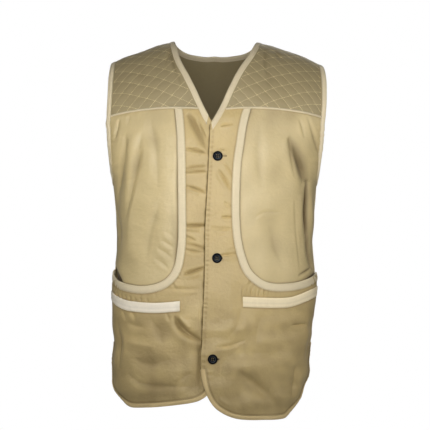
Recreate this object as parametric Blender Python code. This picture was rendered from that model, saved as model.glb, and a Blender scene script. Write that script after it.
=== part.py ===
"""A sleeveless V-neck shooting vest, hollow as when it is worn.

Metres, +Z up. The origin is midway between the two shoulder lines, the fronts face -Y, and the
wearer's left is +X. Every panel is a cloth wall on one body surface, which has two sets of coordinates:
(girth, height) on the torso, where girth runs from 0 at the centre to 1 at a side seam or armhole edge,
and (x, fall) at the shoulders, where fall is the distance down from the shoulder line, negative behind it.
"""

import math

import bpy
import numpy as np
from mathutils import Vector
from mathutils.geometry import delaunay_2d_cdt

# Cloth and trims
CLOTH = 0.0013
YOKE_CLOTH = 0.0020
QUILT_RISE = 0.0014
TRIM_CLOTH = 0.0009
GAP = 0.0003
BINDING_GAP = 0.0004
NECK_BINDING_WIDTH = 0.0115
ARMHOLE_BINDING_WIDTH = 0.0115
POCKET_BAND_WIDTH = 0.0155
HEM_BINDING_WIDTH = 0.0085
PIPING_RADIUS = 0.0017
WELT_WIDTH = 0.0195

# How far each layer lies outside the body surface
CHEST_LIFT = 0.0
YOKE_LIFT = 0.0006
BACK_LIFT = 0.0008
FRONT_LIFT = 0.0016
LAP_LIFT = 0.0026
NECK_LAP = 0.0008
HEM_LAP = 0.0016
MOUTH_RIGHT = 0.0024
MOUTH_LEFT = 0.0018
POCKET_SINK = 0.0024

# Body surface
ROUNDNESS = 2.35
FRONT_RIDGE = 0.130
BACK_RIDGE = 0.150
RIDGE_POWER = 0.55
ARMHOLE_BOTTOM = -0.268
ARMHOLE_ROUND = 0.17
ARMHOLE_FRONT = 0.078
ARMHOLE_BACK = 0.086
MOST_ARMHOLE_SHARE = 0.74
FLAT_GIRTH = 0.30
NECK_BACK_DROP = 0.080
SHOULDER_SEAM = -0.015
BACK_SEAM = -0.168
VENT_TOP = -0.602

# Points and quilting
EDGE_STEP = 0.021
PANEL_STEP = 0.024
QUILT_ANGLE = math.radians(36.5)
QUILT_SPACING = 0.0215
SHOULDER_SLOPE = math.radians(20)

SEAM_GIRTH = 0.9994
STRIP_END_GIRTH = 0.997
POCKET_OVERLAP = 0.050
WELT_END_GIRTH = 0.997
BAND_DROP = 0.0045
QUILT_STEP_X = QUILT_SPACING / math.sin(QUILT_ANGLE) / 2 * math.cos(SHOULDER_SLOPE)
QUILT_STEP_FALL = QUILT_SPACING / math.cos(QUILT_ANGLE) / 2

# Where each front's neck binding ends at the lap, (x, z): its folded edge, and the corner of its sewn edge
NECK_BINDING_END = {1: (-0.0080, -0.1590), -1: (-0.0104, -0.1430)}
NECK_BINDING_CORNER = {1: (-0.0074, -0.1740), -1: (-0.0112, -0.1660)}

BUTTON_RADIUS = 0.0100
BUTTON_THICKNESS = 0.0034
BUTTON_SIDES = 20
BUTTON_HOLE_RADIUS = 0.0011
BUTTON_HOLE_OFFSET = 0.0018


def table(names, *rows):
    return dict(zip(names.split(), np.array(rows, float).T))


SIDES = table(
    "z left right front back",
    (0.060, 0.216, 0.208, 0.094, 0.084),
    (-0.020, 0.221, 0.211, 0.104, 0.092),
    (-0.050, 0.226, 0.215, 0.110, 0.097),
    (-0.100, 0.226, 0.215, 0.120, 0.106),
    (-0.150, 0.222, 0.217, 0.128, 0.113),
    (-0.200, 0.219, 0.216, 0.133, 0.118),
    (-0.240, 0.214, 0.211, 0.135, 0.118),
    (-0.270, 0.2105, 0.2085, 0.135, 0.117),
    (-0.300, 0.2085, 0.206, 0.135, 0.115),
    (-0.350, 0.2040, 0.202, 0.134, 0.112),
    (-0.390, 0.2015, 0.2005, 0.134, 0.110),
    (-0.420, 0.2035, 0.2015, 0.134, 0.110),
    (-0.460, 0.2070, 0.2060, 0.135, 0.111),
    (-0.500, 0.2080, 0.2095, 0.137, 0.113),
    (-0.545, 0.2035, 0.2095, 0.138, 0.115),
    (-0.600, 0.1980, 0.2065, 0.139, 0.117),
    (-0.645, 0.1930, 0.2075, 0.140, 0.118),
    (-0.668, 0.1870, 0.2060, 0.140, 0.119),
    (-0.690, 0.1780, 0.2010, 0.141, 0.119),
    (-0.715, 0.1700, 0.1900, 0.141, 0.120),
    (-0.760, 0.1630, 0.1800, 0.141, 0.121),
)

SHOULDER_LINE = table(
    "x z",
    (0.000, 0.042),
    (0.050, 0.031),
    (0.087, 0.0190),
    (0.120, 0.0100),
    (0.150, -0.0010),
    (0.180, -0.0110),
    (0.212, -0.0255),
    (0.240, -0.0390),
)

NECKLINE = table(
    "z centre half",
    (0.0190, 0.003, 0.0872),
    (-0.002, 0.000, 0.0765),
    (-0.030, -0.004, 0.0640),
    (-0.042, -0.005, 0.0555),
    (-0.064, -0.005, 0.0447),
    (-0.0855, -0.005, 0.0337),
    (-0.107, -0.005, 0.0243),
    (-0.128, -0.005, 0.0143),
    (-0.152, -0.005, 0.0000),
)

YOKE_SEAM = table(
    "x z",
    (0.000, -0.1285),
    (0.050, -0.1242),
    (0.100, -0.1240),
    (0.140, -0.1268),
    (0.180, -0.1320),
    (0.230, -0.1430),
)

# The front edge that carries the pocket band, from the yoke seam down and out to the side seam
POCKET_EDGE = {
    1: table(
        "x z",
        (0.0705, -0.126),
        (0.0625, -0.161),
        (0.0571, -0.197),
        (0.0517, -0.232),
        (0.0488, -0.286),
        (0.0484, -0.340),
        (0.0517, -0.384),
        (0.0590, -0.417),
        (0.0714, -0.449),
        (0.0957, -0.4705),
        (0.1170, -0.4768),
        (0.1420, -0.4773),
        (0.1650, -0.4752),
        (0.1850, -0.4700),
        (0.2120, -0.4580),
    ),
    -1: table(
        "x z",
        (0.0778, -0.125),
        (0.0740, -0.170),
        (0.0722, -0.213),
        (0.0714, -0.286),
        (0.0704, -0.376),
        (0.0734, -0.414),
        (0.0788, -0.441),
        (0.0890, -0.460),
        (0.1050, -0.4730),
        (0.1290, -0.4808),
        (0.1523, -0.4822),
        (0.1700, -0.4802),
        (0.1863, -0.4760),
        (0.2110, -0.4640),
    ),
}

# Front edges in (x, z) as worn: the lapping front on the wearer's left, and the one under it
PLACKET = {
    1: table(
        "x z",
        (-0.0080, -0.159),
        (-0.0110, -0.228),
        (-0.0138, -0.286),
        (-0.0180, -0.360),
        (-0.0186, -0.428),
        (-0.0202, -0.490),
        (-0.0232, -0.558),
        (-0.0248, -0.646),
    ),
    -1: table(
        "x z",
        (0.0120, -0.183),
        (0.0110, -0.300),
        (0.0080, -0.430),
        (0.0060, -0.560),
        (0.0050, -0.620),
    ),
}

HEM = {
    1: table(
        "x z",
        (-0.0248, -0.646),
        (-0.0200, -0.6786),
        (-0.0100, -0.7050),
        (0.0044, -0.7234),
        (0.0228, -0.7350),
        (0.0430, -0.7430),
        (0.0700, -0.7462),
        (0.1000, -0.7470),
        (0.1280, -0.7462),
        (0.1440, -0.7425),
    ),
    -1: table(
        "x z",
        (0.0050, -0.620),
        (0.0010, -0.660),
        (-0.0090, -0.688),
        (-0.0240, -0.7035),
        (-0.0430, -0.7105),
        (-0.0650, -0.7145),
        (-0.0995, -0.7195),
        (-0.1380, -0.7240),
    ),
}

# The rounded corner from each front's hem up to its vent, and the back's, at +girth
HEM_CORNER = {
    1: table(
        "girth z",
        (0.735, -0.7335),
        (0.790, -0.7210),
        (0.880, -0.7040),
        (0.950, -0.6840),
        (0.985, -0.6600),
        (0.990, -0.6350),
        (0.990, VENT_TOP),
    ),
    -1: table(
        "girth z",
        (0.685, -0.7245),
        (0.754, -0.7190),
        (0.830, -0.7080),
        (0.900, -0.6950),
        (0.955, -0.6780),
        (0.985, -0.6570),
        (0.990, -0.6350),
        (0.990, VENT_TOP),
    ),
}
BACK_CORNER = table(
    "girth z",
    (0.720, -0.7020),
    (0.840, -0.6900),
    (0.920, -0.6750),
    (0.970, -0.6530),
    (0.989, -0.6300),
    (0.990, VENT_TOP),
)

BACK_HEM = table(
    "x z",
    (0.000, -0.716),
    (0.045, -0.7155),
    (0.090, -0.7125),
)

WELT = {
    1: table(
        "x z",
        (0.0565, -0.5020),
        (0.0920, -0.5040),
        (0.1420, -0.5060),
        (0.1610, -0.5025),
        (0.1810, -0.4945),
        (0.2050, -0.4860),
    ),
    -1: table(
        "x z",
        (0.0690, -0.5105),
        (0.0917, -0.5130),
        (0.1218, -0.5150),
        (0.1570, -0.5135),
        (0.1777, -0.5110),
        (0.1967, -0.5040),
        (0.2070, -0.4960),
    ),
}

BUTTONS = table(
    "x z",
    (0.0064, -0.2206),
    (0.0050, -0.4240),
    (-0.0036, -0.6252),
)

# Largest folds of the fronts: a line from (x0, z0) over (x1, z1) to (x2, z2), its half width and height
FOLDS = table(
    "x0 z0 x1 z1 x2 z2 width height",
    (-0.178, -0.175, -0.192, -0.270, -0.197, -0.345, 0.011, -0.0045),
    (-0.145, -0.190, -0.160, -0.270, -0.184, -0.360, 0.012, -0.0040),
    (-0.160, -0.190, -0.172, -0.300, -0.172, -0.420, 0.011, 0.0035),
    (0.165, -0.220, 0.184, -0.262, 0.180, -0.300, 0.012, -0.0050),
    (0.188, -0.275, 0.184, -0.340, 0.194, -0.440, 0.009, -0.0050),
    (-0.084, -0.530, -0.060, -0.570, -0.027, -0.590, 0.011, -0.0035),
    (-0.170, -0.640, -0.120, -0.620, -0.090, -0.625, 0.020, -0.0035),
    (-0.165, -0.660, -0.115, -0.676, -0.053, -0.680, 0.010, -0.0025),
    (-0.035, -0.590, -0.033, -0.640, -0.034, -0.690, 0.010, -0.0040),
    (0.066, -0.665, 0.095, -0.690, 0.115, -0.712, 0.012, -0.0035),
    (0.158, -0.640, 0.160, -0.680, 0.155, -0.705, 0.014, -0.0040),
)

BACK_FOLDS = table(
    "x0 z0 x1 z1 x2 z2 width height",
    (-0.150, -0.230, -0.130, -0.330, -0.120, -0.430, 0.016, -0.0050),
    (0.150, -0.220, 0.135, -0.320, 0.130, -0.410, 0.016, -0.0050),
    (-0.060, -0.320, -0.050, -0.440, -0.055, -0.560, 0.018, -0.0040),
    (0.060, -0.300, 0.065, -0.440, 0.050, -0.570, 0.018, -0.0045),
    (-0.120, -0.520, -0.020, -0.505, 0.090, -0.525, 0.014, -0.0030),
)

COLOURS = {
    "cloth": (0.60, 0.49, 0.27),
    "yoke": (0.33, 0.27, 0.15),
    "trim": (0.74, 0.65, 0.45),
    "button": (0.012, 0.014, 0.024),
}
ROUGHNESS = {"cloth": 0.62, "yoke": 0.62, "trim": 0.75, "button": 0.28}


def clear_scene():
    for obj in list(bpy.data.objects):
        bpy.data.objects.remove(obj, do_unlink=True)


def smooth_read(xs, ys, x):
    """A smooth curve through a table's points: cubic pieces whose slopes are those of their neighbours."""
    order = np.argsort(xs)
    xs = xs[order]
    ys = ys[order]
    slopes = np.gradient(ys, xs)
    x = np.clip(x, xs[0], xs[-1])
    i = np.clip(np.searchsorted(xs, x) - 1, 0, len(xs) - 2)
    span = xs[i + 1] - xs[i]
    t = (x - xs[i]) / span
    near = (1 + 2 * t) * (1 - t) ** 2 * ys[i] + t * (1 - t) ** 2 * slopes[i] * span
    far = t * t * (3 - 2 * t) * ys[i + 1] + t * t * (t - 1) * slopes[i + 1] * span
    return near + far


def smooth_step(x, start, end):
    t = np.clip((x - start) / (end - start), 0, 1)
    return t * t * (3 - 2 * t)


def path(points, step, least=1):
    """Points about a step apart on a smooth curve through the given ones, each of which is kept."""
    points = np.asarray(points, float)
    ends = np.vstack([2 * points[0] - points[1], points, 2 * points[-1] - points[-2]])
    rows = []
    for before, start, end, after in zip(ends, ends[1:], ends[2:], ends[3:]):
        count = max(least, round(np.linalg.norm(end - start) / step))
        t = np.arange(count)[:, None] / count
        hermite = (
            (2 * t**3 - 3 * t**2 + 1) * start
            + (t**3 - 2 * t**2 + t) * (end - before) / 2
            + (3 * t**2 - 2 * t**3) * end
            + (t**3 - t**2) * (after - start) / 2
        )
        rows.append(hermite)
    rows.append(points[-1:])
    return np.vstack(rows)


def even_path(points, step):
    """The same smooth curve with its points spaced evenly along it."""
    fine = path(points, step / 12, 12)
    along = np.concatenate([[0], np.cumsum(np.linalg.norm(np.diff(fine, axis=0), axis=1))])
    count = max(1, round(along[-1] / step))
    wanted = np.linspace(0, along[-1], count + 1)
    return np.column_stack([np.interp(wanted, along, fine[:, 0]), np.interp(wanted, along, fine[:, 1])])


def columns(rows):
    return np.column_stack(list(rows.values()))


def armhole_depth(z, back):
    """How far the armhole's edge lies from the side plane: a rounded foot, then an even width."""
    t = np.clip((z - ARMHOLE_BOTTOM) / ARMHOLE_ROUND, 0, 1)
    widest = ARMHOLE_BACK if back else ARMHOLE_FRONT
    return widest * np.sqrt(1 - (1 - t) ** 2)


def ring(left, z, back):
    """The torso's ring at a height: edge half width, its reach if it were whole, depth, and edge angle."""
    on_left = smooth_read(SIDES["z"], SIDES["left"], z)
    width = np.where(left, on_left, smooth_read(SIDES["z"], SIDES["right"], z))
    depth = smooth_read(SIDES["z"], SIDES["back" if back else "front"], z)
    edge = np.minimum(armhole_depth(z, back), MOST_ARMHOLE_SHARE * depth)
    reach = width / (1 - (edge / depth) ** ROUNDNESS) ** (1 / ROUNDNESS)
    return width, reach, depth, np.arctan2(width, edge)


def shoulder_height(x):
    return smooth_read(SHOULDER_LINE["x"], SHOULDER_LINE["z"], np.abs(x))


def ridge(drop, back):
    t = np.clip(drop / (BACK_RIDGE if back else FRONT_RIDGE), 0, 1)
    return (1 - (1 - t) ** 2) ** RIDGE_POWER


def girth_of(x, z, back=False):
    _, reach, depth, edge_angle = ring(x >= 0, z, back)
    share = np.clip(np.abs(x) / reach, 0, 1)
    angle = np.arctan2(np.abs(x), depth * (1 - share**ROUNDNESS) ** (1 / ROUNDNESS))
    return np.sign(x) * np.clip(angle / edge_angle, 0, 1)


def fold_height(x, z, back):
    """Sum of the folds: each is a soft bump across its line, fading out at both ends."""
    folds = BACK_FOLDS if back else FOLDS
    here = np.stack([x, z], -1)
    total = np.zeros(np.shape(x))
    for i in range(len(folds["x0"])):
        corners = [np.array([folds[f"x{k}"][i], folds[f"z{k}"][i]]) for k in range(3)]
        distance = np.full(np.shape(x), np.inf)
        along = np.zeros(np.shape(x))
        for k in range(2):
            span = corners[k + 1] - corners[k]
            t = np.clip(((here - corners[k]) @ span) / (span @ span), 0, 1)
            gap = np.linalg.norm(here - corners[k] - t[..., None] * span, axis=-1)
            along = np.where(gap < distance, (k + t) / 2, along)
            distance = np.minimum(distance, gap)
        fade = 0.25 + 0.75 * np.sin(np.pi * along)
        total += folds["height"][i] * fade * np.exp(-((distance / folds["width"][i]) ** 2))
    return total


def torso(back):
    """The body surface in (girth, height) coordinates."""

    def point(girth, z):
        _, reach, depth, edge_angle = ring(girth >= 0, z, back)
        angle = np.abs(girth) * edge_angle
        across = np.abs(np.sin(angle)) / reach
        forward = np.abs(np.cos(angle)) / depth
        radius = (across**ROUNDNESS + forward**ROUNDNESS) ** (-1 / ROUNDNESS)
        x = np.sign(girth) * radius * np.sin(angle)
        fold = fold_height(x, z, back)
        x = x * (1 + fold / radius)
        y = (radius * np.cos(angle) + fold * np.cos(angle)) * ridge(shoulder_height(x) - z, back)
        return np.stack([x, y if back else -y, z], -1)

    return point


def fall_table(x, back):
    """Drop below the shoulder line, and the distance walked down to it, for each x."""
    drop = 0.26 * np.linspace(0, 1, 360)[None, :] ** 2
    x = np.ravel(x)[:, None]
    z = shoulder_height(x) - drop
    _, reach, depth, _ = ring(x >= 0, z, back)
    share = np.clip(np.abs(x) / reach, 0, 1)
    y = depth * (1 - share**ROUNDNESS) ** (1 / ROUNDNESS) * ridge(drop, back)
    step = np.hypot(np.diff(y, axis=1), np.diff(z, axis=1))
    walked = np.hstack([np.zeros((len(x), 1)), np.cumsum(step, axis=1)])
    return drop[0], walked, y, z


def fall_of(x, z, back=False):
    drop, walked, _, _ = fall_table(x, back)
    wanted = shoulder_height(x) - z
    found = np.array([np.interp(w, drop, row) for w, row in zip(np.ravel(wanted), walked)])
    return -found if back else found


def shoulder(x, fall):
    """The body surface in (x, fall) coordinates."""
    shape = np.shape(x)
    x = np.ravel(x)
    fall = np.ravel(fall)
    result = np.zeros((len(x), 3))
    for back in (False, True):
        chosen = (fall < 0) == back
        if not chosen.any():
            continue
        _, walked, y, z = fall_table(x[chosen], back)
        far = np.abs(fall[chosen])
        result[chosen, 1] = [np.interp(f, w, row) for f, w, row in zip(far, walked, y)]
        result[chosen, 2] = [np.interp(f, w, row) for f, w, row in zip(far, walked, z)]
        if not back:
            result[chosen, 1] *= -1
    result[:, 0] = x
    return result.reshape(shape + (3,))


def derivatives(surface, params):
    """Steps of the surface along its two coordinates, and the outward normal."""
    a, b = params[:, 0], params[:, 1]
    reach = 0.0015
    by_a = (surface(a + reach, b) - surface(a - reach, b)) / (2 * reach)
    by_b = (surface(a, b + reach) - surface(a, b - reach)) / (2 * reach)
    normal = np.cross(by_a, by_b)
    normal /= np.linalg.norm(normal, axis=1, keepdims=True)
    here = surface(a, b)
    middle = np.column_stack([0 * a, 0 * a, here[:, 2] - 0.06])
    outward = np.sign(((here - middle) * normal).sum(axis=1, keepdims=True))
    return by_a, by_b, normal * outward


def on_surface(surface, params, lift):
    """Points at a height over the surface."""
    _, _, normal = derivatives(surface, params)
    return surface(params[:, 0], params[:, 1]) + normal * np.broadcast_to(lift, len(params))[:, None]


def inset(surface, edge, width, turn):
    """The edge's points moved sideways on the surface by a width. Turn is 1 or -1, for the side."""
    by_a, by_b, normal = derivatives(surface, edge)
    points = surface(edge[:, 0], edge[:, 1])
    tangent = np.gradient(points, axis=0)
    tangent /= np.linalg.norm(tangent, axis=1, keepdims=True)
    inward = turn * np.cross(normal, tangent) * width
    # Least squares in the tangent plane turns the step into the surface's own coordinates.
    aa = (by_a * by_a).sum(1)
    bb = (by_b * by_b).sum(1)
    ab = (by_a * by_b).sum(1)
    wa = (inward * by_a).sum(1)
    wb = (inward * by_b).sum(1)
    scale = aa * bb - ab * ab
    return edge + np.column_stack([(wa * bb - wb * ab) / scale, (wb * aa - wa * ab) / scale])


def armhole_inner(surface, edge, side, back):
    """The line a binding's width inside an armhole's edge, found by its points' depths and heights."""
    _, _, normal = derivatives(surface, edge)
    points = surface(edge[:, 0], edge[:, 1])
    tangent = np.gradient(points, axis=0)
    tangent /= np.linalg.norm(tangent, axis=1, keepdims=True)
    turn = side if back else -side
    x, y, z = (points + turn * np.cross(normal, tangent) * ARMHOLE_BINDING_WIDTH).T
    _, reach, depth, edge_angle = ring(side > 0, z, back)
    y = np.clip(y if back else -y, 0, None) / ridge(shoulder_height(x) - z, back)
    across = reach * (1 - (y / depth) ** ROUNDNESS) ** (1 / ROUNDNESS)
    girth = np.clip(np.arctan2(across, y) / edge_angle, 0, STRIP_END_GIRTH)
    return np.column_stack([side * girth, z])


def material(name):
    found = bpy.data.materials.get(name)
    if found:
        return found
    made = bpy.data.materials.new(name)
    made.use_nodes = True
    shader = made.node_tree.nodes["Principled BSDF"]
    shader.inputs["Base Color"].default_value = (*COLOURS[name], 1)
    shader.inputs["Roughness"].default_value = ROUGHNESS[name]
    shader.inputs["Metallic"].default_value = 0
    made.diffuse_color = (*COLOURS[name], 1)
    return made


def add_mesh(name, points, faces, finish):
    mesh = bpy.data.meshes.new(name)
    mesh.from_pydata([tuple(p) for p in points], [], [tuple(f) for f in faces])
    mesh.validate()
    mesh.materials.append(material(finish))
    obj = bpy.data.objects.new(name, mesh)
    bpy.context.scene.collection.objects.link(obj)
    return obj


def signed_volume(points, faces):
    corners = points[np.asarray(faces)]
    return np.einsum("ij,ij->", corners[:, 0], np.cross(corners[:, 1], corners[:, 2]))


def add_solid(name, points, faces, finish):
    """A closed solid from triangles that all turn the same way."""
    points = np.asarray(points)
    faces = np.asarray(faces)
    if signed_volume(points, faces) < 0:
        faces = faces[:, ::-1]
    return add_mesh(name, points, faces, finish)


def inside(loop, points):
    """Whether each point is inside a closed loop, by counting the loop's crossings."""
    x, y = points[:, 0:1], points[:, 1:2]
    ax, ay = loop[:, 0], loop[:, 1]
    bx, by = np.roll(ax, -1), np.roll(ay, -1)
    crosses = (ay > y) != (by > y)
    with np.errstate(divide="ignore", invalid="ignore"):
        at = ax + (y - ay) * (bx - ax) / (by - ay)
    return (crosses & (x < at)).sum(axis=1) % 2 == 1


def distance_to(lines, points):
    """Distance from each point to the nearest of some polylines."""
    least = np.full(len(points), np.inf)
    for line in lines:
        for start, end in zip(line, line[1:]):
            span = end - start
            t = np.clip((points - start) @ span / (span @ span + 1e-12), 0, 1)
            least = np.minimum(least, np.linalg.norm(points - start - t[:, None] * span, axis=1))
    return least


def lattice(loop, step_a, step_b):
    low = loop.min(axis=0)
    high = loop.max(axis=0)
    a = np.arange(low[0], high[0], step_a)
    b = np.arange(low[1], high[1], step_b)
    return np.array([(x + step_a / 2 * (j % 2), y) for j, y in enumerate(b) for x in a])


class Panel:
    """A cloth wall: a closed outline on the surface, strips along its edges, and points between."""

    def __init__(self, name, surface, lift, thickness, finish, scale=(1, 1)):
        self.name = name
        self.surface = surface
        self.lift = lift
        self.thickness = thickness
        self.finish = finish
        self.scale = np.array(scale)
        self.outline = []
        self.strips = []
        self.patches = []

    def edge(self, params):
        """Adds a stretch of outline, which leaves out its last point where the next one starts."""
        self.outline.append(np.asarray(params))

    def strip(self, edge, width, turn):
        """Marks the line under a trim's inner side, so that the trim can be made from these points."""
        return self.add_strip(edge, inset(self.surface, edge, width, turn))

    def add_strip(self, edge, inner):
        self.strips.append((edge, inner))
        return edge, inner

    def lift_at(self, params):
        return self.lift(params) if callable(self.lift) else np.full(len(params), self.lift)

    def trim_rows(self, edge, inner):
        """The wall's points that a trim goes round, from the line inside the edge round to its underside."""
        rows = []
        for params, side in ((inner, 1), (edge, 1), (edge, 0), (inner, 0)):
            _, _, normal = derivatives(self.surface, params)
            lift = self.lift_at(params) + side * self.thickness
            rows.append((self.surface(params[:, 0], params[:, 1]) + normal * lift[:, None], normal))
        return rows

    def build(self, step=PANEL_STEP, points=None, links=(), relief=None):
        loop = np.vstack(self.outline)
        keep = np.linalg.norm((loop - np.roll(loop, 1, axis=0)) * self.scale, axis=1) > 0.0008
        loop = loop[keep]
        flat_loop = loop * self.scale
        flat_strips = [inner * self.scale for _, inner in self.strips + self.patches]
        flat_strips += [edge * self.scale for edge, _ in self.patches]
        if points is None:
            points = lattice(flat_loop, step, step * 0.87)
            links = ()
        else:
            points = points * self.scale
        closed = np.vstack([flat_loop, flat_loop[:1]])
        room = 0.42 * step
        good = inside(flat_loop, points) & (distance_to([closed], points) > room)
        good &= distance_to(flat_strips, points) > room
        for edge, inner in self.strips + self.patches:
            band = np.vstack([edge, inner[::-1]]) * self.scale
            good &= ~inside(band, points)
        index = {i: n for n, i in enumerate(np.flatnonzero(good))}
        coords = [flat_loop]
        edges = []
        start = len(flat_loop)
        for edge, inner in self.strips:
            at_edge = [self.match(flat_loop, p * self.scale) for p in edge]
            coords.append(inner * self.scale)
            ids = start + np.arange(len(inner))
            start += len(inner)
            edges += list(zip(ids, ids[1:]))
            edges += list(zip(at_edge, ids))
            edges += list(zip(at_edge, ids[1:]))
        for top, low in self.patches:
            coords += [top * self.scale, low * self.scale]
            ids = start + np.arange(len(top))
            below = ids + len(top)
            start += 2 * len(top)
            edges += list(zip(ids, ids[1:])) + list(zip(below, below[1:]))
            edges += list(zip(ids, below)) + list(zip(ids, below[1:]))
        coords.append(points[good])
        edges += [(start + index[i], start + index[j]) for i, j in links if i in index and j in index]
        edges = [(int(i), int(j)) for i, j in edges if i is not None and i != j]
        found = delaunay_2d_cdt(
            [Vector(p) for p in np.vstack(coords)],
            edges,
            [list(range(len(flat_loop)))],
            1,
            1e-6,
        )
        params = np.array([tuple(v) for v in found[0]]) / self.scale
        triangles = np.array([f for f in found[2]])
        lift = self.lift_at(params)
        base = self.surface(params[:, 0], params[:, 1])
        _, _, normal = derivatives(self.surface, params)
        rise = self.thickness + (relief(params) if relief else 0)
        outer = base + normal * (lift + rise)[:, None]
        inner_points = base + normal * lift[:, None]
        return self.close(outer, inner_points, triangles)

    @staticmethod
    def match(loop, point):
        gap = np.linalg.norm(loop - point, axis=1)
        best = int(np.argmin(gap))
        return best if gap[best] < 1e-5 else None

    def close(self, outer, inner, triangles):
        count = len(outer)
        sides = np.concatenate([triangles[:, [0, 1]], triangles[:, [1, 2]], triangles[:, [2, 0]]])
        present = {tuple(s) for s in sides}
        border = [s for s in sides if (s[1], s[0]) not in present]
        rim = []
        for i, j in border:
            rim += [(j, i, i + count), (j, i + count, j + count)]
        faces = np.vstack([triangles, triangles[:, ::-1] + count, np.array(rim)])
        used = np.unique(faces)
        renumber = np.full(2 * count, -1)
        renumber[used] = np.arange(len(used))
        return add_solid(self.name, np.vstack([outer, inner])[used], renumber[faces], self.finish)


def sweep(name, sections, finish, closed=False, turned=None):
    """A solid through sections of the same number of points.

    Turned holds, for each section, the sides whose diagonal to the next section runs the other way.
    """
    sections = np.asarray(sections)
    rows, sides = sections.shape[:2]
    turned = turned or [()] * rows
    faces = []
    for row in range(rows if closed else rows - 1):
        here = row * sides
        there = (row + 1) % rows * sides
        for k in range(sides):
            m = (k + 1) % sides
            a, b, c, d = here + k, here + m, there + m, there + k
            faces += [(a, b, d), (b, c, d)] if k in turned[row] else [(a, b, c), (a, c, d)]
    if not closed:
        last = (rows - 1) * sides
        half = sides // 2
        for k in range(half - 1):
            a, b = k, k + 1
            c, d = sides - 2 - k, sides - 1 - k
            faces += [(a, c, b), (a, d, c)]
            faces += [(last + a, last + b, last + c), (last + a, last + c, last + d)]
    return add_solid(name, sections.reshape(-1, 3), faces, finish)


class Trim:
    """Sections of a folded strip, and the diagonals that make its faces follow those of the panel under it."""

    def __init__(self, panel, trim, inner_leg=True, reverse=False):
        sections = binding_sections(panel, *trim, inner_leg)
        self.sections = sections[::-1] if reverse else sections
        own = (2, 6) if reverse else (0, 4) if inner_leg else (0,)
        self.turned = [own] * len(sections)


def sweep_trims(name, trims, finish, closed=False):
    sections = np.vstack([trim.sections for trim in trims])
    sweep(name, sections, finish, closed, sum([trim.turned for trim in trims], []))


def binding_sections(panel, edge, inner, inner_leg=True):
    """A folded strip round a panel's edge, from the panel's own points moved out by the gap and the cloth."""
    (top_in, n1), (top, n0), (low, _), (low_in, _) = panel.trim_rows(edge, inner)
    away = top - top_in
    away -= (away * n0).sum(1, keepdims=True) * n0
    away /= np.linalg.norm(away, axis=1, keepdims=True)
    near = BINDING_GAP
    far = near + TRIM_CLOTH
    outside = [top_in + n1 * far, top + n0 * far + away * far]
    inside_face = [top + n0 * near + away * near, top_in + n1 * near]
    if inner_leg:
        outside += [low - n0 * far + away * far, low_in - n1 * far]
        inside_face = [low_in - n1 * near, low - n0 * near + away * near] + inside_face
    else:
        outside += [low + away * far]
        inside_face = [low + away * near] + inside_face
    return np.stack(outside + inside_face, axis=1)


def front_lift(side):
    """The lapping front rises over the other beside the placket, and each pocket stands a little open."""

    def lift(params):
        girth, z = params[:, 0], params[:, 1]
        x = torso(False)(girth, z)[:, 0]
        mouth_z = -0.470
        mouth = np.exp(-(((z - mouth_z) / 0.030) ** 2)) * smooth_step(np.abs(x), 0.120, 0.185)
        value = FRONT_LIFT + mouth * (MOUTH_RIGHT if side < 0 else MOUTH_LEFT)
        if side > 0:
            over = LAP_LIFT + NECK_LAP * (1 - smooth_step(-z, 0.170, 0.195))
            over += HEM_LAP * smooth_step(-z, 0.570, 0.610)
            value = value + over * smooth_step(-x, -0.054, -0.028) * smooth_step(-z, 0.126, 0.146)
        return value

    return lift


def neck_x(side, z):
    centre = smooth_read(NECKLINE["z"], NECKLINE["centre"], z)
    half = smooth_read(NECKLINE["z"], NECKLINE["half"], z)
    return centre + side * half


def seam_z(x):
    return smooth_read(YOKE_SEAM["x"], YOKE_SEAM["z"], np.abs(x))


def solve_seam(edge_x):
    """Where an edge x(z) meets the yoke seam."""
    z = -0.13
    for _ in range(30):
        z = float(seam_z(edge_x(np.float64(z))))
    return float(edge_x(np.float64(z))), z


def girths(points, back=False):
    """(x, z) points as (girth, height)."""
    points = np.asarray(points, float)
    return np.column_stack([girth_of(points[:, 0], points[:, 1], back), points[:, 1]])


def even_girths(points, step):
    """Points of (girth, height) on a smooth curve through the given ones, evenly spaced on the cloth."""
    return even_path(points * (FLAT_GIRTH, 1), step) / (FLAT_GIRTH, 1)


def edge_width(side, z):
    return float(smooth_read(SIDES["z"], SIDES["left" if side > 0 else "right"], np.float64(z)))


def seam_girths(x):
    """Points of the yoke seam on the panels below it."""
    return girths(np.column_stack([x, seam_z(x) - GAP / 2]))


def seam_falls(x):
    """Points of the yoke seam on the yoke."""
    return np.column_stack([x, fall_of(x, seam_z(x) + GAP / 2)])


def meet_seam(surface, edge, width, seam, direction):
    """Where a line a width away from an edge's last point meets the seam."""
    points = surface(edge[-2:, 0], edge[-2:, 1])
    tangent = points[1] - points[0]
    tangent /= np.linalg.norm(tangent)
    here = surface(edge[-1:, 0], edge[-1:, 1])[0]
    x = here[0] + direction * np.linspace(0, 3 * width, 60)
    params = seam(x)
    away = surface(params[:, 0], params[:, 1]) - here
    distance = np.linalg.norm(away - np.outer(away @ tangent, tangent), axis=1)
    return seam(np.array([np.interp(width, distance, x)]))[0]


def hem_line(hem, corner, side, back=False):
    """A hem from its first point round the corner and up the vent's edge."""
    level = girths(columns(hem), back)
    return even_girths(np.vstack([level, columns(corner) * (side, 1)]), EDGE_STEP)


def pocket_line(side):
    """The front edge that carries the pocket band, from just under the yoke seam to the side seam."""
    line = girths(columns(POCKET_EDGE[side]) * (side, 1))
    line[0, 1] = float(seam_z(POCKET_EDGE[side]["x"][0])) - BAND_DROP
    line = even_girths(line, EDGE_STEP)
    line[-1, 0] = side * SEAM_GIRTH
    return line


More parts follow.
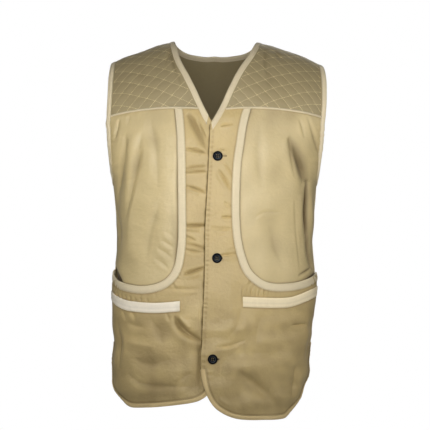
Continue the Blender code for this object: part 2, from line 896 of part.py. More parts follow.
def build_front(side):
    """One outer front: neckline, placket, hem and vent on one side, the pocket edge on the other."""
    name = "front_left" if side > 0 else "front_right"
    surface = torso(False)
    panel = Panel(name, surface, front_lift(side), CLOTH, "cloth", (FLAT_GIRTH, 1))
    neck_top_x, neck_top_z = solve_seam(lambda z: neck_x(side, z))
    bound_end = np.array(NECK_BINDING_END[side])
    neck = girths(even_path([(neck_top_x, neck_top_z - GAP / 2), bound_end], EDGE_STEP * 0.8))
    placket = columns(PLACKET[side])
    if side < 0:
        placket = np.vstack([bound_end, placket])
    placket = girths(even_path(placket, EDGE_STEP * 1.3))
    hem = hem_line(HEM[side], HEM_CORNER[side], side)
    pocket = pocket_line(side)
    side_z = np.linspace(VENT_TOP + 0.006, pocket[-1, 1], 7)[:-1]
    top_x = side * POCKET_EDGE[side]["x"][0]
    panel.edge(neck)
    panel.edge(placket[1:-1])
    panel.edge(hem)
    panel.edge(np.column_stack([np.full(6, side * SEAM_GIRTH), side_z]))
    panel.edge(pocket[::-1])
    panel.edge(seam_girths(np.linspace(top_x, neck_top_x, 4)[:-1]))
    neck_trim = panel.strip(neck, NECK_BINDING_WIDTH, side)
    neck_trim[1][0] = meet_seam(surface, neck[1::-1], NECK_BINDING_WIDTH, seam_girths, side)
    neck_trim[1][-1] = girths([NECK_BINDING_CORNER[side]])[0]
    hem_trim = panel.strip(hem, HEM_BINDING_WIDTH, side)
    pocket_trim = panel.strip(pocket, POCKET_BAND_WIDTH, -side)
    pocket_trim[1][0, 1] = seam_z(surface(*pocket_trim[1][:1].T)[0, 0]) - BAND_DROP
    pocket_trim[1][-1, 0] = side * SEAM_GIRTH
    welt = welt_lines(side)
    panel.patches.append(welt)
    panel.build()
    return panel, neck_trim, hem_trim, pocket_trim, welt


def build_chest(side):
    """The panel behind a front, from the yoke seam to just below the pocket's mouth."""
    name = "chest_left" if side > 0 else "chest_right"
    surface = torso(False)
    pocket = columns(POCKET_EDGE[side]) * (side, 1)
    mouth_line = pocket_line(side) * (FLAT_GIRTH, 1)
    corner = (side * 1.2 * FLAT_GIRTH, 0.0)
    outside = (side * 1.2 * FLAT_GIRTH, mouth_line[-1, 1])
    shown = np.vstack([mouth_line, [outside, corner, (mouth_line[0, 0], 0.0)]])

    def lift(params):
        flat = params * (FLAT_GIRTH, 1)
        under = ~inside(shown, flat)
        sunk = POCKET_SINK * under * smooth_step(distance_to([mouth_line], flat), 0.0, 0.012)
        return CHEST_LIFT + (BACK_LIFT - CHEST_LIFT) * smooth_step(np.abs(params[:, 0]), 0.88, 0.955) - sunk

    panel = Panel(name, surface, lift, CLOTH, "cloth", (FLAT_GIRTH, 1))
    bottom = pocket[:, 1].min() - POCKET_OVERLAP
    inner_x = pocket[0, 0] - side * 0.019
    inner_low_x = pocket[5, 0] - side * 0.019
    _, outer_z = solve_seam(lambda z: side * edge_width(side, z))
    heights = armhole_heights(outer_z - GAP / 2)
    armhole = np.column_stack([np.full(len(heights), side * SEAM_GIRTH), heights])
    trim = panel.add_strip(armhole, armhole_inner(surface, armhole, side, False))
    trim[1][0] = meet_seam(surface, armhole[1::-1], ARMHOLE_BINDING_WIDTH, seam_girths, -side)
    trim_x = surface(*trim[1][:1].T)[0, 0]
    top = seam_girths(np.linspace(inner_x, trim_x, 7))
    side_z = np.linspace(ARMHOLE_BOTTOM, bottom, 13)[1:]
    side_seam = np.column_stack([np.full(len(side_z), side * SEAM_GIRTH), side_z])
    inner_line = np.array([(inner_low_x, bottom), (inner_low_x, -0.25), (inner_x, seam_z(inner_x) - GAP / 2)])
    inner_line = even_girths(girths(inner_line), 0.03)
    outer_girth = side_seam[-1, 0]
    base = np.column_stack([np.linspace(outer_girth, inner_line[0, 0], 8)[1:-1], np.full(6, bottom)])
    panel.edge(top)
    panel.edge(armhole)
    panel.edge(side_seam)
    panel.edge(base)
    panel.edge(inner_line[:-1])
    panel.build()
    return panel, trim


def armhole_heights(top):
    """Heights down an armhole's edge, closer together at its rounded foot."""
    count = 7
    t = np.sin(np.linspace(0, 1, count + 1) * math.pi / 2)
    return top + (ARMHOLE_BOTTOM - top) * t


def quilt_points(span_x, span_fall):
    """Crossings and middles of the quilting's lozenges, and the stitch lines that join crossings."""
    points = []
    index = {}
    for i in range(-span_x, span_x + 1):
        for j in range(-span_fall, span_fall + 1):
            index[i, j] = len(points)
            points.append((i * QUILT_STEP_X, j * QUILT_STEP_FALL))
    links = []
    for (i, j), n in index.items():
        if (i + j) % 2 == 0:
            links += [(n, index[i + 1, k]) for k in (j - 1, j + 1) if (i + 1, k) in index]
    return np.array(points), links


def quilt_relief(panel):
    """Each lozenge swells between its stitch lines, and the cloth lies flat under the trims."""

    def relief(params):
        across = params[:, 0] / QUILT_STEP_X
        down = params[:, 1] / QUILT_STEP_FALL
        swell = np.abs(np.sin(np.pi * (across + down) / 2) * np.sin(np.pi * (across - down) / 2))
        loop = np.vstack(panel.outline)
        loop = np.vstack([loop, loop[:1]])
        flat = smooth_step(distance_to([loop], params), 0.003, 0.009)
        flat = flat * smooth_step(distance_to([inner for _, inner in panel.strips], params), 0.0005, 0.006)
        return QUILT_RISE * swell * flat

    return relief


def shoulder_end(side):
    """Where the armhole's edge crosses the shoulder line."""
    z = -0.025
    for _ in range(20):
        z = float(shoulder_height(edge_width(side, z)))
    return side * edge_width(side, z), z


def neck_top(side):
    """Where the neckline crosses the shoulder line."""
    z = 0.018
    for _ in range(20):
        z = float(shoulder_height(neck_x(side, np.float64(z))))
    return float(neck_x(side, np.float64(z))), z


def back_neck(side, fall):
    """The neckline behind the shoulder line: a quarter of an ellipse to the centre of the back."""
    x, _ = neck_top(side)
    return np.column_stack([x * np.sqrt(1 - (fall / NECK_BACK_DROP) ** 2), fall])


def build_yoke_front(side):
    name = "yoke_front_left" if side > 0 else "yoke_front_right"
    panel = Panel(name, shoulder, YOKE_LIFT, YOKE_CLOTH, "yoke")
    back_fall = SHOULDER_SEAM + GAP / 2
    end_x, end_z = shoulder_end(side)
    _, low_z = solve_seam(lambda z: side * edge_width(side, z))
    z = np.linspace(end_z, low_z + GAP / 2, 7)[1:]
    x = side * np.array([edge_width(side, h) for h in z])
    armhole = np.vstack([[(end_x, back_fall)], [(end_x, 0)], np.column_stack([x, fall_of(x, z)])])
    _, neck_low_z = solve_seam(lambda h: neck_x(side, h))
    top_x, top_z = neck_top(side)
    z = np.linspace(neck_low_z + GAP / 2, top_z, 9)[:-1]
    x = neck_x(side, z)
    neck = np.vstack([np.column_stack([x, fall_of(x, z)]), [(top_x, 0)], back_neck(side, np.array([back_fall]))])
    seam = seam_falls(np.linspace(armhole[-1, 0], neck[0, 0], 12)[1:-1])
    panel.edge(armhole)
    panel.edge(seam)
    panel.edge(neck)
    panel.edge(np.column_stack([np.linspace(neck[-1, 0], end_x, 7)[1:-1], np.full(5, back_fall)]))
    arm_edge, arm_inner = panel.strip(armhole, ARMHOLE_BINDING_WIDTH, -side)
    arm_inner[0, 1] = back_fall
    arm_inner[-1] = meet_seam(shoulder, armhole, ARMHOLE_BINDING_WIDTH, seam_falls, -side)
    neck_edge, neck_inner = panel.strip(neck, NECK_BINDING_WIDTH, -side)
    neck_inner[0] = meet_seam(shoulder, neck[1::-1], NECK_BINDING_WIDTH, seam_falls, side)
    neck_inner[-1, 1] = back_fall
    points, links = quilt_points(14, 14)
    panel.build(QUILT_STEP_FALL, points, links, quilt_relief(panel))
    return panel, (arm_edge, arm_inner), (neck_edge, neck_inner)


def build_yoke_back():
    panel = Panel("yoke_back", shoulder, YOKE_LIFT, YOKE_CLOTH, "yoke")
    top_fall = SHOULDER_SEAM - GAP / 2
    armholes = {}
    for side in (1, -1):
        start_z = float(shoulder(np.array([side * 0.215]), np.array([top_fall]))[0, 2])
        z = np.linspace(start_z, BACK_SEAM + GAP / 2, 8)
        x = side * np.array([edge_width(side, h) for h in z])
        falls = fall_of(x, z, True)
        falls[0] = top_fall
        armholes[side] = np.column_stack([x, falls])
    right = back_neck(-1, np.linspace(top_fall, -0.97 * NECK_BACK_DROP, 6))
    left = back_neck(1, np.linspace(top_fall, -0.97 * NECK_BACK_DROP, 6))
    neck = np.vstack([right, [(0, -NECK_BACK_DROP)], left[::-1]])
    seam_x = np.linspace(armholes[1][-1, 0], armholes[-1][-1, 0], 22)[1:-1]
    seam = np.column_stack([seam_x, fall_of(seam_x, BACK_SEAM + GAP / 2, True)])
    panel.edge(armholes[1])
    panel.edge(seam)
    panel.edge(armholes[-1][::-1])
    panel.edge(np.column_stack([np.linspace(armholes[-1][0, 0], neck[0, 0], 7)[1:-1], np.full(5, top_fall)]))
    panel.edge(neck)
    panel.edge(np.column_stack([np.linspace(neck[-1, 0], armholes[1][0, 0], 7)[1:-1], np.full(5, top_fall)]))
    arm_trims = {}
    for side in (1, -1):
        edge, inner = panel.strip(armholes[side], ARMHOLE_BINDING_WIDTH, side)
        inner[0, 1] = top_fall
        inner[-1, 1] = fall_of(inner[-1:, 0], BACK_SEAM + GAP / 2, True)[0]
        arm_trims[side] = (edge, inner)
    neck_edge, neck_inner = panel.strip(neck, NECK_BINDING_WIDTH, 1)
    neck_inner[0, 1] = top_fall
    neck_inner[-1, 1] = top_fall
    points, links = quilt_points(14, 20)
    panel.build(QUILT_STEP_FALL, points, links, quilt_relief(panel))
    return panel, arm_trims, (neck_edge, neck_inner)


def build_back():
    surface = torso(True)
    panel = Panel("back", surface, BACK_LIFT, CLOTH, "cloth", (FLAT_GIRTH, 1))
    top = BACK_SEAM - GAP / 2
    half_hem = hem_line(BACK_HEM, BACK_CORNER, 1, True)
    armholes = {}
    hems = {}
    seams = {}
    for side in (1, -1):
        z = armhole_heights(top)
        armholes[side] = np.column_stack([np.full(len(z), side * SEAM_GIRTH), z])
        z = np.linspace(ARMHOLE_BOTTOM, VENT_TOP + 0.006, 16)[1:]
        seams[side] = np.column_stack([np.full(len(z), side * SEAM_GIRTH), z])
        hems[side] = half_hem * (side, 1)
    hem = np.vstack([hems[1][::-1], hems[-1][1:]])
    top_girths = np.column_stack([np.linspace(-SEAM_GIRTH, SEAM_GIRTH, 23)[1:-1], np.full(21, top)])
    panel.edge(top_girths)
    panel.edge(armholes[1])
    panel.edge(seams[1])
    panel.edge(hem)
    panel.edge(seams[-1][::-1])
    panel.edge(armholes[-1][::-1])
    arm_trims = {}
    for side in (1, -1):
        edge, inner = panel.add_strip(armholes[side], armhole_inner(surface, armholes[side], side, True))
        inner[0, 1] = top
        arm_trims[side] = (edge, inner)
    hem_trim = panel.strip(hem, HEM_BINDING_WIDTH, 1)
    panel.build(0.027)
    return panel, arm_trims, hem_trim


def tube(name, centres, normals, radius, finish):
    """A six-sided cord along its centres."""
    along = np.gradient(centres, axis=0)
    along /= np.linalg.norm(along, axis=1, keepdims=True)
    across = np.cross(normals, along)
    angles = np.arange(6) * math.pi / 3
    sections = [
        centres + radius * (np.cos(a) * normals + np.sin(a) * across)
        for a in angles
    ]
    return sweep(name, np.stack(sections, axis=1), finish)


def build_piping(name, surface, params):
    lift = FRONT_LIFT + CLOTH + GAP + PIPING_RADIUS
    _, _, normal = derivatives(surface, params)
    tube(name, on_surface(surface, params, lift), normal, PIPING_RADIUS, "trim")


def welt_lines(side):
    """The top and bottom lines of a welt, from near the placket to the side seam."""
    top = even_girths(girths(columns(WELT[side]) * (side, 1)), 0.019)
    top[-1, 0] = side * WELT_END_GIRTH
    foot = girths(np.column_stack([torso(False)(*top.T)[:, 0], top[:, 1] - WELT_WIDTH]))
    foot[-1, 0] = side * WELT_END_GIRTH
    return top, foot


def build_welt(side, front, lines):
    """A flat strip on the front, from the front's own points moved out."""
    rows = []
    for params in lines:
        lift = front.lift_at(params) + CLOTH
        rows += [on_surface(front.surface, params, lift + rise) for rise in (GAP, GAP + CLOTH)]
    top_low, top_high, foot_low, foot_high = rows
    name = "welt_left" if side > 0 else "welt_right"
    sections = np.stack([top_high, foot_high, foot_low, top_low], axis=1)
    sweep(name, sections, "trim", turned=[(2,)] * len(sections))


def build_button(number, x, z):
    """A dished four-hole button that lies on the lapping front."""
    surface = torso(False)
    params = girths([(x, z)])
    lift = front_lift(1)(params) + CLOTH + GAP
    _, _, normal = derivatives(surface, params)
    seat = on_surface(surface, params, lift)[0]
    rim = BUTTON_RADIUS
    profile = [
        (0.62 * rim, 0),
        (0.90 * rim, 0.0005),
        (rim, 0.0014),
        (0.96 * rim, BUTTON_THICKNESS - 0.0003),
        (0.84 * rim, BUTTON_THICKNESS),
        (0.66 * rim, BUTTON_THICKNESS - 0.0010),
        (0.40 * rim, BUTTON_THICKNESS - 0.0013),
    ]
    turn = np.arange(BUTTON_SIDES) * 2 * math.pi / BUTTON_SIDES
    circle = np.column_stack([np.cos(turn), np.sin(turn)])
    rings = [np.column_stack([r * circle, np.full(BUTTON_SIDES, h)]) for r, h in profile]
    points = np.vstack(rings + [[(0, 0, 0)], [(0, 0, BUTTON_THICKNESS - 0.0014)]])
    faces = []
    for ring_index in range(len(profile) - 1):
        for k in range(BUTTON_SIDES):
            m = (k + 1) % BUTTON_SIDES
            a = ring_index * BUTTON_SIDES
            b = a + BUTTON_SIDES
            faces += [(a + k, a + m, b + m), (a + k, b + m, b + k)]
    last = (len(profile) - 1) * BUTTON_SIDES
    foot = len(points) - 2
    for k in range(BUTTON_SIDES):
        m = (k + 1) % BUTTON_SIDES
        faces += [(foot, m, k), (foot + 1, last + k, last + m)]
    name = f"button_{number}"
    button = add_solid(name, points, faces, "button")
    outward = Vector(normal[0])
    button.rotation_mode = "QUATERNION"
    button.rotation_quaternion = outward.to_track_quat("Z", "Y")
    button.location = Vector(seat)
    holes = []
    hole_faces = []
    hole_turn = np.arange(8) * math.pi / 4
    for sx in (1, -1):
        for sy in (1, -1):
            start = len(holes) * 8
            for h in (-0.002, BUTTON_THICKNESS + 0.002):
                holes.append(
                    np.column_stack(
                        [
                            sx * BUTTON_HOLE_OFFSET + BUTTON_HOLE_RADIUS * np.cos(hole_turn),
                            sy * BUTTON_HOLE_OFFSET + BUTTON_HOLE_RADIUS * np.sin(hole_turn),
                            np.full(8, h),
                        ]
                    )
                )
            hole_faces += [tuple(start + k for k in range(7, -1, -1)), tuple(start + 8 + k for k in range(8))]
            hole_faces += [(start + k, start + (k + 1) % 8, start + 8 + (k + 1) % 8, start + 8 + k) for k in range(8)]
    cutter = add_mesh(f"{name}_holes", np.vstack(holes), hole_faces, "button")
    cutter.rotation_mode = "QUATERNION"
    cutter.rotation_quaternion = button.rotation_quaternion
    cutter.location = button.location
    cutter.hide_render = True
    cutter.display_type = "WIRE"
    cut = button.modifiers.new("holes", "BOOLEAN")
    cut.operation = "DIFFERENCE"
    cut.object = cutter


def main():
    clear_scene()
    neck_parts = {}
    back, back_arms, back_hem = build_back()
    yoke_back, yoke_back_arms, yoke_back_neck = build_yoke_back()
    sweep_trims("hem_binding_back", [Trim(back, back_hem)], "cloth")
    for side in (1, -1):
        tag = "left" if side > 0 else "right"
        front, neck, hem, pocket, welt = build_front(side)
        chest, chest_arm = build_chest(side)
        yoke, yoke_arm, yoke_neck = build_yoke_front(side)
        sweep_trims(f"hem_binding_front_{tag}", [Trim(front, hem)], "cloth")
        sweep_trims(f"pocket_band_{tag}", [Trim(front, pocket, False)], "trim")
        neck_parts[side] = [
            Trim(front, neck, reverse=side > 0),
            Trim(yoke, yoke_neck, reverse=side < 0),
        ]
        arm_parts = [
            Trim(yoke, yoke_arm),
            Trim(chest, chest_arm),
            Trim(back, back_arms[side], reverse=True),
            Trim(yoke_back, yoke_back_arms[side], reverse=True),
        ]
        sweep_trims(f"armhole_binding_{tag}", arm_parts, "trim", closed=True)
        start = yoke_neck[1][0, 0] + side * 0.0008
        end = yoke_arm[1][-1, 0] - side * 0.0008
        seam = even_path([(start, 0), (end, 0)], 0.012)[:, 0]
        build_piping(f"yoke_piping_{tag}", torso(False), girths(np.column_stack([seam, seam_z(seam)])))
        build_welt(side, front, welt)
    neck = neck_parts[1] + [Trim(yoke_back, yoke_back_neck, reverse=True)] + neck_parts[-1][::-1]
    sweep_trims("neck_binding", neck, "trim")
    ends = [yoke_back_arms[side][1][-1, 0] - side * 0.0008 for side in (-1, 1)]
    x = np.linspace(ends[0], ends[1], 30)
    build_piping("yoke_piping_back", torso(True), girths(np.column_stack([x, np.full(30, BACK_SEAM)]), True))
    for number, (x, z) in enumerate(zip(BUTTONS["x"], BUTTONS["z"]), 1):
        build_button(number, x, z)


main()
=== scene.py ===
import math

import bpy
import numpy as np
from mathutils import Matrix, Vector
from mathutils.geometry import delaunay_2d_cdt


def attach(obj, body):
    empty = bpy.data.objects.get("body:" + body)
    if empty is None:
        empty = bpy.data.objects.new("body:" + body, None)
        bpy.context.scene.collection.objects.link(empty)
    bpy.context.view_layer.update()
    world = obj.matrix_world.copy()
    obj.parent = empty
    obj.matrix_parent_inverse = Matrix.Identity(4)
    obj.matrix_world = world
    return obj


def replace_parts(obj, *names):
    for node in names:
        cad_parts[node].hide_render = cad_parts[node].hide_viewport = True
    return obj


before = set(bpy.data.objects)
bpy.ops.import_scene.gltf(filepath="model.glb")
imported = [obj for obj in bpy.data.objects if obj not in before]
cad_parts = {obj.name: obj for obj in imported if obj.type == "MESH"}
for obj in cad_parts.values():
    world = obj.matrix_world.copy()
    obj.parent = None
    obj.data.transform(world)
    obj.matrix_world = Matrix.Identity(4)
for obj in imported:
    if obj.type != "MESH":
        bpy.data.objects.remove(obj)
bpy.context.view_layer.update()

print("frame loaded", len(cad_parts), "nodes")


def columnsOf(names, *rows):
    return dict(zip(names.split(), np.array(rows, float).T))


# The body surface that every panel lies on, in metres, as in the part's source
body = {
    "roundness": 2.35, "frontRidge": 0.130, "backRidge": 0.150, "ridgePower": 0.55,
    "armholeBottom": -0.268, "armholeRound": 0.17, "armholeFront": 0.078, "armholeBack": 0.086,
    "armholeShare": 0.74, "flatGirth": 0.30, "neckBackDrop": 0.080, "shoulderSeam": -0.015,
    "backSeam": -0.168, "ventTop": -0.602, "seamGirth": 0.9994, "stripEnd": 0.997,
}
sides = columnsOf(
    "z left right front back",
    (0.060, 0.216, 0.208, 0.094, 0.084), (-0.020, 0.221, 0.211, 0.104, 0.092),
    (-0.050, 0.226, 0.215, 0.110, 0.097), (-0.100, 0.226, 0.215, 0.120, 0.106),
    (-0.150, 0.222, 0.217, 0.128, 0.113), (-0.200, 0.219, 0.216, 0.133, 0.118),
    (-0.240, 0.214, 0.211, 0.135, 0.118), (-0.270, 0.2105, 0.2085, 0.135, 0.117),
    (-0.300, 0.2085, 0.206, 0.135, 0.115), (-0.350, 0.2040, 0.202, 0.134, 0.112),
    (-0.390, 0.2015, 0.2005, 0.134, 0.110), (-0.420, 0.2035, 0.2015, 0.134, 0.110),
    (-0.460, 0.2070, 0.2060, 0.135, 0.111), (-0.500, 0.2080, 0.2095, 0.137, 0.113),
    (-0.545, 0.2035, 0.2095, 0.138, 0.115), (-0.600, 0.1980, 0.2065, 0.139, 0.117),
    (-0.645, 0.1930, 0.2075, 0.140, 0.118), (-0.668, 0.1900, 0.2070, 0.140, 0.119),
    (-0.690, 0.1825, 0.2050, 0.141, 0.119), (-0.715, 0.1765, 0.1965, 0.141, 0.120),
    (-0.760, 0.1690, 0.1865, 0.141, 0.121),
)

shoulderLine = columnsOf(
    "x z",
    (0.000, 0.042), (0.050, 0.031), (0.087, 0.0190), (0.120, 0.0100), (0.150, -0.0010),
    (0.180, -0.0110), (0.212, -0.0255), (0.240, -0.0390),
)

neckline = columnsOf(
    "z centre half",
    (0.0190, 0.003, 0.0872), (-0.002, 0.000, 0.0765), (-0.030, -0.004, 0.0640),
    (-0.042, -0.005, 0.0555), (-0.064, -0.005, 0.0447), (-0.0855, -0.005, 0.0337),
    (-0.107, -0.005, 0.0243), (-0.128, -0.005, 0.0143), (-0.152, -0.005, 0.0000),
)

yokeSeam = columnsOf(
    "x z",
    (0.000, -0.1285), (0.050, -0.1242), (0.100, -0.1240), (0.140, -0.1268), (0.180, -0.1320),
    (0.230, -0.1430),
)

# The front edge that carries the pocket band, from the yoke seam down and out to the side seam
pocketEdge = {
    1: columnsOf(
        "x z",
        (0.0705, -0.126), (0.0625, -0.161), (0.0571, -0.197), (0.0517, -0.232), (0.0488, -0.286),
        (0.0484, -0.340), (0.0517, -0.384), (0.0590, -0.417), (0.0714, -0.449), (0.0957, -0.4705),
        (0.1170, -0.4768), (0.1420, -0.4773), (0.1650, -0.4752), (0.1850, -0.4700), (0.2120, -0.4580),
    ),
    -1: columnsOf(
        "x z",
        (0.0778, -0.125), (0.0740, -0.170), (0.0722, -0.213), (0.0714, -0.286), (0.0704, -0.376),
        (0.0734, -0.414), (0.0788, -0.441), (0.0890, -0.460), (0.1050, -0.4730), (0.1290, -0.4808),
        (0.1523, -0.4822), (0.1700, -0.4802), (0.1863, -0.4765), (0.1975, -0.4705), (0.2045, -0.4630),
        (0.2110, -0.4530),
    ),
}

# Front edges in (x, z) as worn: the lapping front on the wearer's left, and the one under it
placket = {
    1: columnsOf(
        "x z",
        (-0.0080, -0.159), (-0.0110, -0.228), (-0.0138, -0.286), (-0.0180, -0.360), (-0.0186, -0.428),
        (-0.0202, -0.490), (-0.0232, -0.558), (-0.0248, -0.646),
    ),
    -1: columnsOf(
        "x z",
        (0.0120, -0.183), (0.0110, -0.300), (0.0080, -0.430), (0.0060, -0.560), (0.0050, -0.620),
    ),
}

hem = {
    1: columnsOf(
        "x z",
        (-0.0248, -0.646), (-0.0200, -0.6786), (-0.0100, -0.7050), (0.0044, -0.7234), (0.0228, -0.7350),
        (0.0430, -0.7430), (0.0700, -0.7462), (0.1000, -0.7470), (0.1239, -0.7482), (0.1417, -0.7469),
    ),
    -1: columnsOf(
        "x z",
        (0.0050, -0.620), (0.0010, -0.660), (-0.0090, -0.688), (-0.0240, -0.7035), (-0.0430, -0.7105),
        (-0.0650, -0.7145), (-0.0995, -0.7195), (-0.1380, -0.7240),
    ),
}

# The rounded corner from each front's hem up to its vent, and the back's, at +girth
hemCorner = {
    1: columnsOf(
        "girth z",
        (0.681, -0.7412), (0.719, -0.7324), (0.788, -0.7213), (0.847, -0.7050), (0.905, -0.6864),
        (0.950, -0.6680), (0.978, -0.6500), (0.988, -0.6300),
        (0.990, body["ventTop"]),
    ),
    -1: columnsOf(
        "girth z",
        (0.680, -0.7265), (0.736, -0.7252), (0.778, -0.7203), (0.820, -0.7118), (0.855, -0.7018),
        (0.902, -0.6926), (0.955, -0.6780), (0.985, -0.6570),
        (0.990, -0.6350), (0.990, body["ventTop"]),
    ),
}
backCorner = columnsOf(
    "girth z",
    (0.720, -0.7020), (0.840, -0.6900), (0.920, -0.6750),
    (0.970, -0.6530), (0.989, -0.6300), (0.990, body["ventTop"]),
)

backHem = columnsOf(
    "x z",
    (0.000, -0.716), (0.045, -0.7155), (0.090, -0.7125),
)

weltTop = {
    1: columnsOf(
        "x z",
        (0.0565, -0.5020), (0.0920, -0.5040), (0.1400, -0.5050), (0.1620, -0.5012), (0.1820, -0.4945),
        (0.2050, -0.4860),
    ),
    -1: columnsOf(
        "x z",
        (0.0690, -0.5105), (0.0917, -0.5130), (0.1218, -0.5150), (0.1570, -0.5135), (0.1777, -0.5110),
        (0.1967, -0.5040), (0.2070, -0.4960),
    ),
}

buttonPlaces = columnsOf(
    "x z",
    (0.0064, -0.2206), (0.0050, -0.4240), (-0.0036, -0.6252),
)

largeFolds = columnsOf(
    "x0 z0 x1 z1 x2 z2 width height",
    (-0.178, -0.175, -0.192, -0.270, -0.197, -0.345, 0.011, -0.0045),
    (-0.145, -0.190, -0.160, -0.270, -0.184, -0.360, 0.012, -0.0040),
    (-0.160, -0.190, -0.172, -0.300, -0.172, -0.420, 0.011, 0.0035),
    (0.165, -0.220, 0.184, -0.262, 0.180, -0.300, 0.012, -0.0050),
    (0.188, -0.275, 0.184, -0.340, 0.194, -0.440, 0.009, -0.0050),
    (-0.084, -0.530, -0.060, -0.570, -0.027, -0.590, 0.011, -0.0035),
    (-0.170, -0.640, -0.120, -0.620, -0.090, -0.625, 0.020, -0.0035),
    (-0.165, -0.660, -0.115, -0.676, -0.053, -0.680, 0.010, -0.0025),
    (-0.035, -0.590, -0.033, -0.640, -0.034, -0.690, 0.010, -0.0040),
    (0.066, -0.665, 0.095, -0.690, 0.115, -0.712, 0.012, -0.0035),
    (0.158, -0.640, 0.160, -0.680, 0.155, -0.705, 0.014, -0.0040),
)

backFolds = columnsOf(
    "x0 z0 x1 z1 x2 z2 width height",
    (-0.150, -0.230, -0.130, -0.330, -0.120, -0.430, 0.016, -0.0050),
    (0.150, -0.220, 0.135, -0.320, 0.130, -0.410, 0.016, -0.0050),
    (-0.060, -0.320, -0.050, -0.440, -0.055, -0.560, 0.018, -0.0040),
    (0.060, -0.300, 0.065, -0.440, 0.050, -0.570, 0.018, -0.0045),
    (-0.120, -0.520, -0.020, -0.505, 0.090, -0.525, 0.014, -0.0030),
)


def smoothRead(xs, ys, x):
    # cubic pieces through a table's points, each slope that of its neighbours
    order = np.argsort(xs)
    xs, ys = xs[order], ys[order]
    slopes = np.gradient(ys, xs)
    x = np.clip(x, xs[0], xs[-1])
    i = np.clip(np.searchsorted(xs, x) - 1, 0, len(xs) - 2)
    span = xs[i + 1] - xs[i]
    t = (x - xs[i]) / span
    near = (1 + 2 * t) * (1 - t) ** 2 * ys[i] + t * (1 - t) ** 2 * slopes[i] * span
    return near + t * t * (3 - 2 * t) * ys[i + 1] + t * t * (t - 1) * slopes[i + 1] * span


def smoothStep(x, start, end):
    t = np.clip((x - start) / (end - start), 0, 1)
    return t * t * (3 - 2 * t)


def smoothLine(points, count):
    # Hermite curve through the points, each tangent half the step between its neighbours
    points = np.asarray(points, float)
    ends = np.vstack([2 * points[0] - points[1], points, 2 * points[-1] - points[-2]])
    before, start, end, after = (ends[k:len(ends) - 3 + k, None] for k in range(4))
    t = (np.arange(count) / count)[None, :, None]
    curve = (2 * t**3 - 3 * t**2 + 1) * start + (t**3 - 2 * t**2 + t) * (end - before) / 2
    curve = curve + (3 * t**2 - 2 * t**3) * end + (t**3 - t**2) * (after - start) / 2
    return np.vstack([curve.reshape(-1, points.shape[1]), points[-1:]])


def bell(x, width, middle=0.0):
    # a soft bump: 1 at its middle, and 1/e at its width away from it
    return np.exp(-(((x - middle) / width) ** 2))


def walked(line):
    # the distance walked along a line at each of its points
    return np.concatenate([[0], np.cumsum(np.linalg.norm(np.diff(line, axis=0), axis=1))])


def evenLine(points, step, smooth=True):
    # the same curve with its points at even distances
    line = smoothLine(points, 24) if smooth else np.asarray(points, float)
    along = walked(line)
    wanted = np.linspace(0, along[-1], max(1, round(along[-1] / step)) + 1)
    return np.column_stack([np.interp(wanted, along, column) for column in line.T])


def listed(rows):
    return np.column_stack(list(rows.values()))


def ringAt(left, z, back):
    # one height's ring: armhole edge's half width, whole reach, depth, and the edge's angle
    width = np.where(left, smoothRead(sides["z"], sides["left"], z), smoothRead(sides["z"], sides["right"], z))
    depth = smoothRead(sides["z"], sides["back" if back else "front"], z)
    t = np.clip((z - body["armholeBottom"]) / body["armholeRound"], 0, 1)
    edge = body["armholeBack" if back else "armholeFront"] * np.sqrt(1 - (1 - t) ** 2)
    edge = np.minimum(edge, body["armholeShare"] * depth)
    reach = width / (1 - (edge / depth) ** body["roundness"]) ** (1 / body["roundness"])
    return reach, depth, np.arctan2(width, edge)


def shoulderHeight(x):
    return smoothRead(shoulderLine["x"], shoulderLine["z"], np.abs(x))


def ridgeShare(drop, back):
    t = np.clip(drop / body["backRidge" if back else "frontRidge"], 0, 1)
    return (1 - (1 - t) ** 2) ** body["ridgePower"]


def depthAt(x, z, back):
    reach, depth, edgeAngle = ringAt(x >= 0, z, back)
    share = np.clip(np.abs(x) / reach, 0, 1)
    return depth * (1 - share ** body["roundness"]) ** (1 / body["roundness"]), edgeAngle


def girthOf(x, z, back=False):
    y, edgeAngle = depthAt(x, z, back)
    return np.sign(x) * np.clip(np.arctan2(np.abs(x), y) / edgeAngle, 0, 1)


def girths(points, back=False):
    points = np.asarray(points, float)
    return np.column_stack([girthOf(points[:, 0], points[:, 1], back), points[:, 1]])


def evenGirths(points, step):
    scale = (body["flatGirth"], 1)
    return evenLine(points * scale, step) / scale


def nearestOn(line, here):
    # distance to a polyline, share of its length walked, and on which side of it each point lies
    start, span = line[:-1], np.diff(line, axis=0)
    away = here[:, None, :] - start[None]
    t = np.clip((away * span).sum(-1) / ((span * span).sum(-1) + 1e-12), 0, 1)
    gap = np.linalg.norm(away - t[..., None] * span, axis=-1)
    k = gap.argmin(axis=1)
    row = np.arange(len(here))
    side = np.sign(away[row, k, 0] * span[k, 1] - away[row, k, 1] * span[k, 0])
    return gap[row, k], (k + t[row, k]) / len(span), side


def largeFoldHeight(x, z, back):
    # each large fold is a soft bump across its line, fading at both ends
    folds = backFolds if back else largeFolds
    here = np.column_stack([x, z])
    total = np.zeros(len(x))
    for x0, z0, x1, z1, x2, z2, width, height in listed(folds):
        gap, along, _ = nearestOn(np.array([(x0, z0), (x1, z1), (x2, z2)]), here)
        fade = 0.25 + 0.75 * np.sin(np.pi * along)
        total += height * fade * bell(gap, width)
    return total


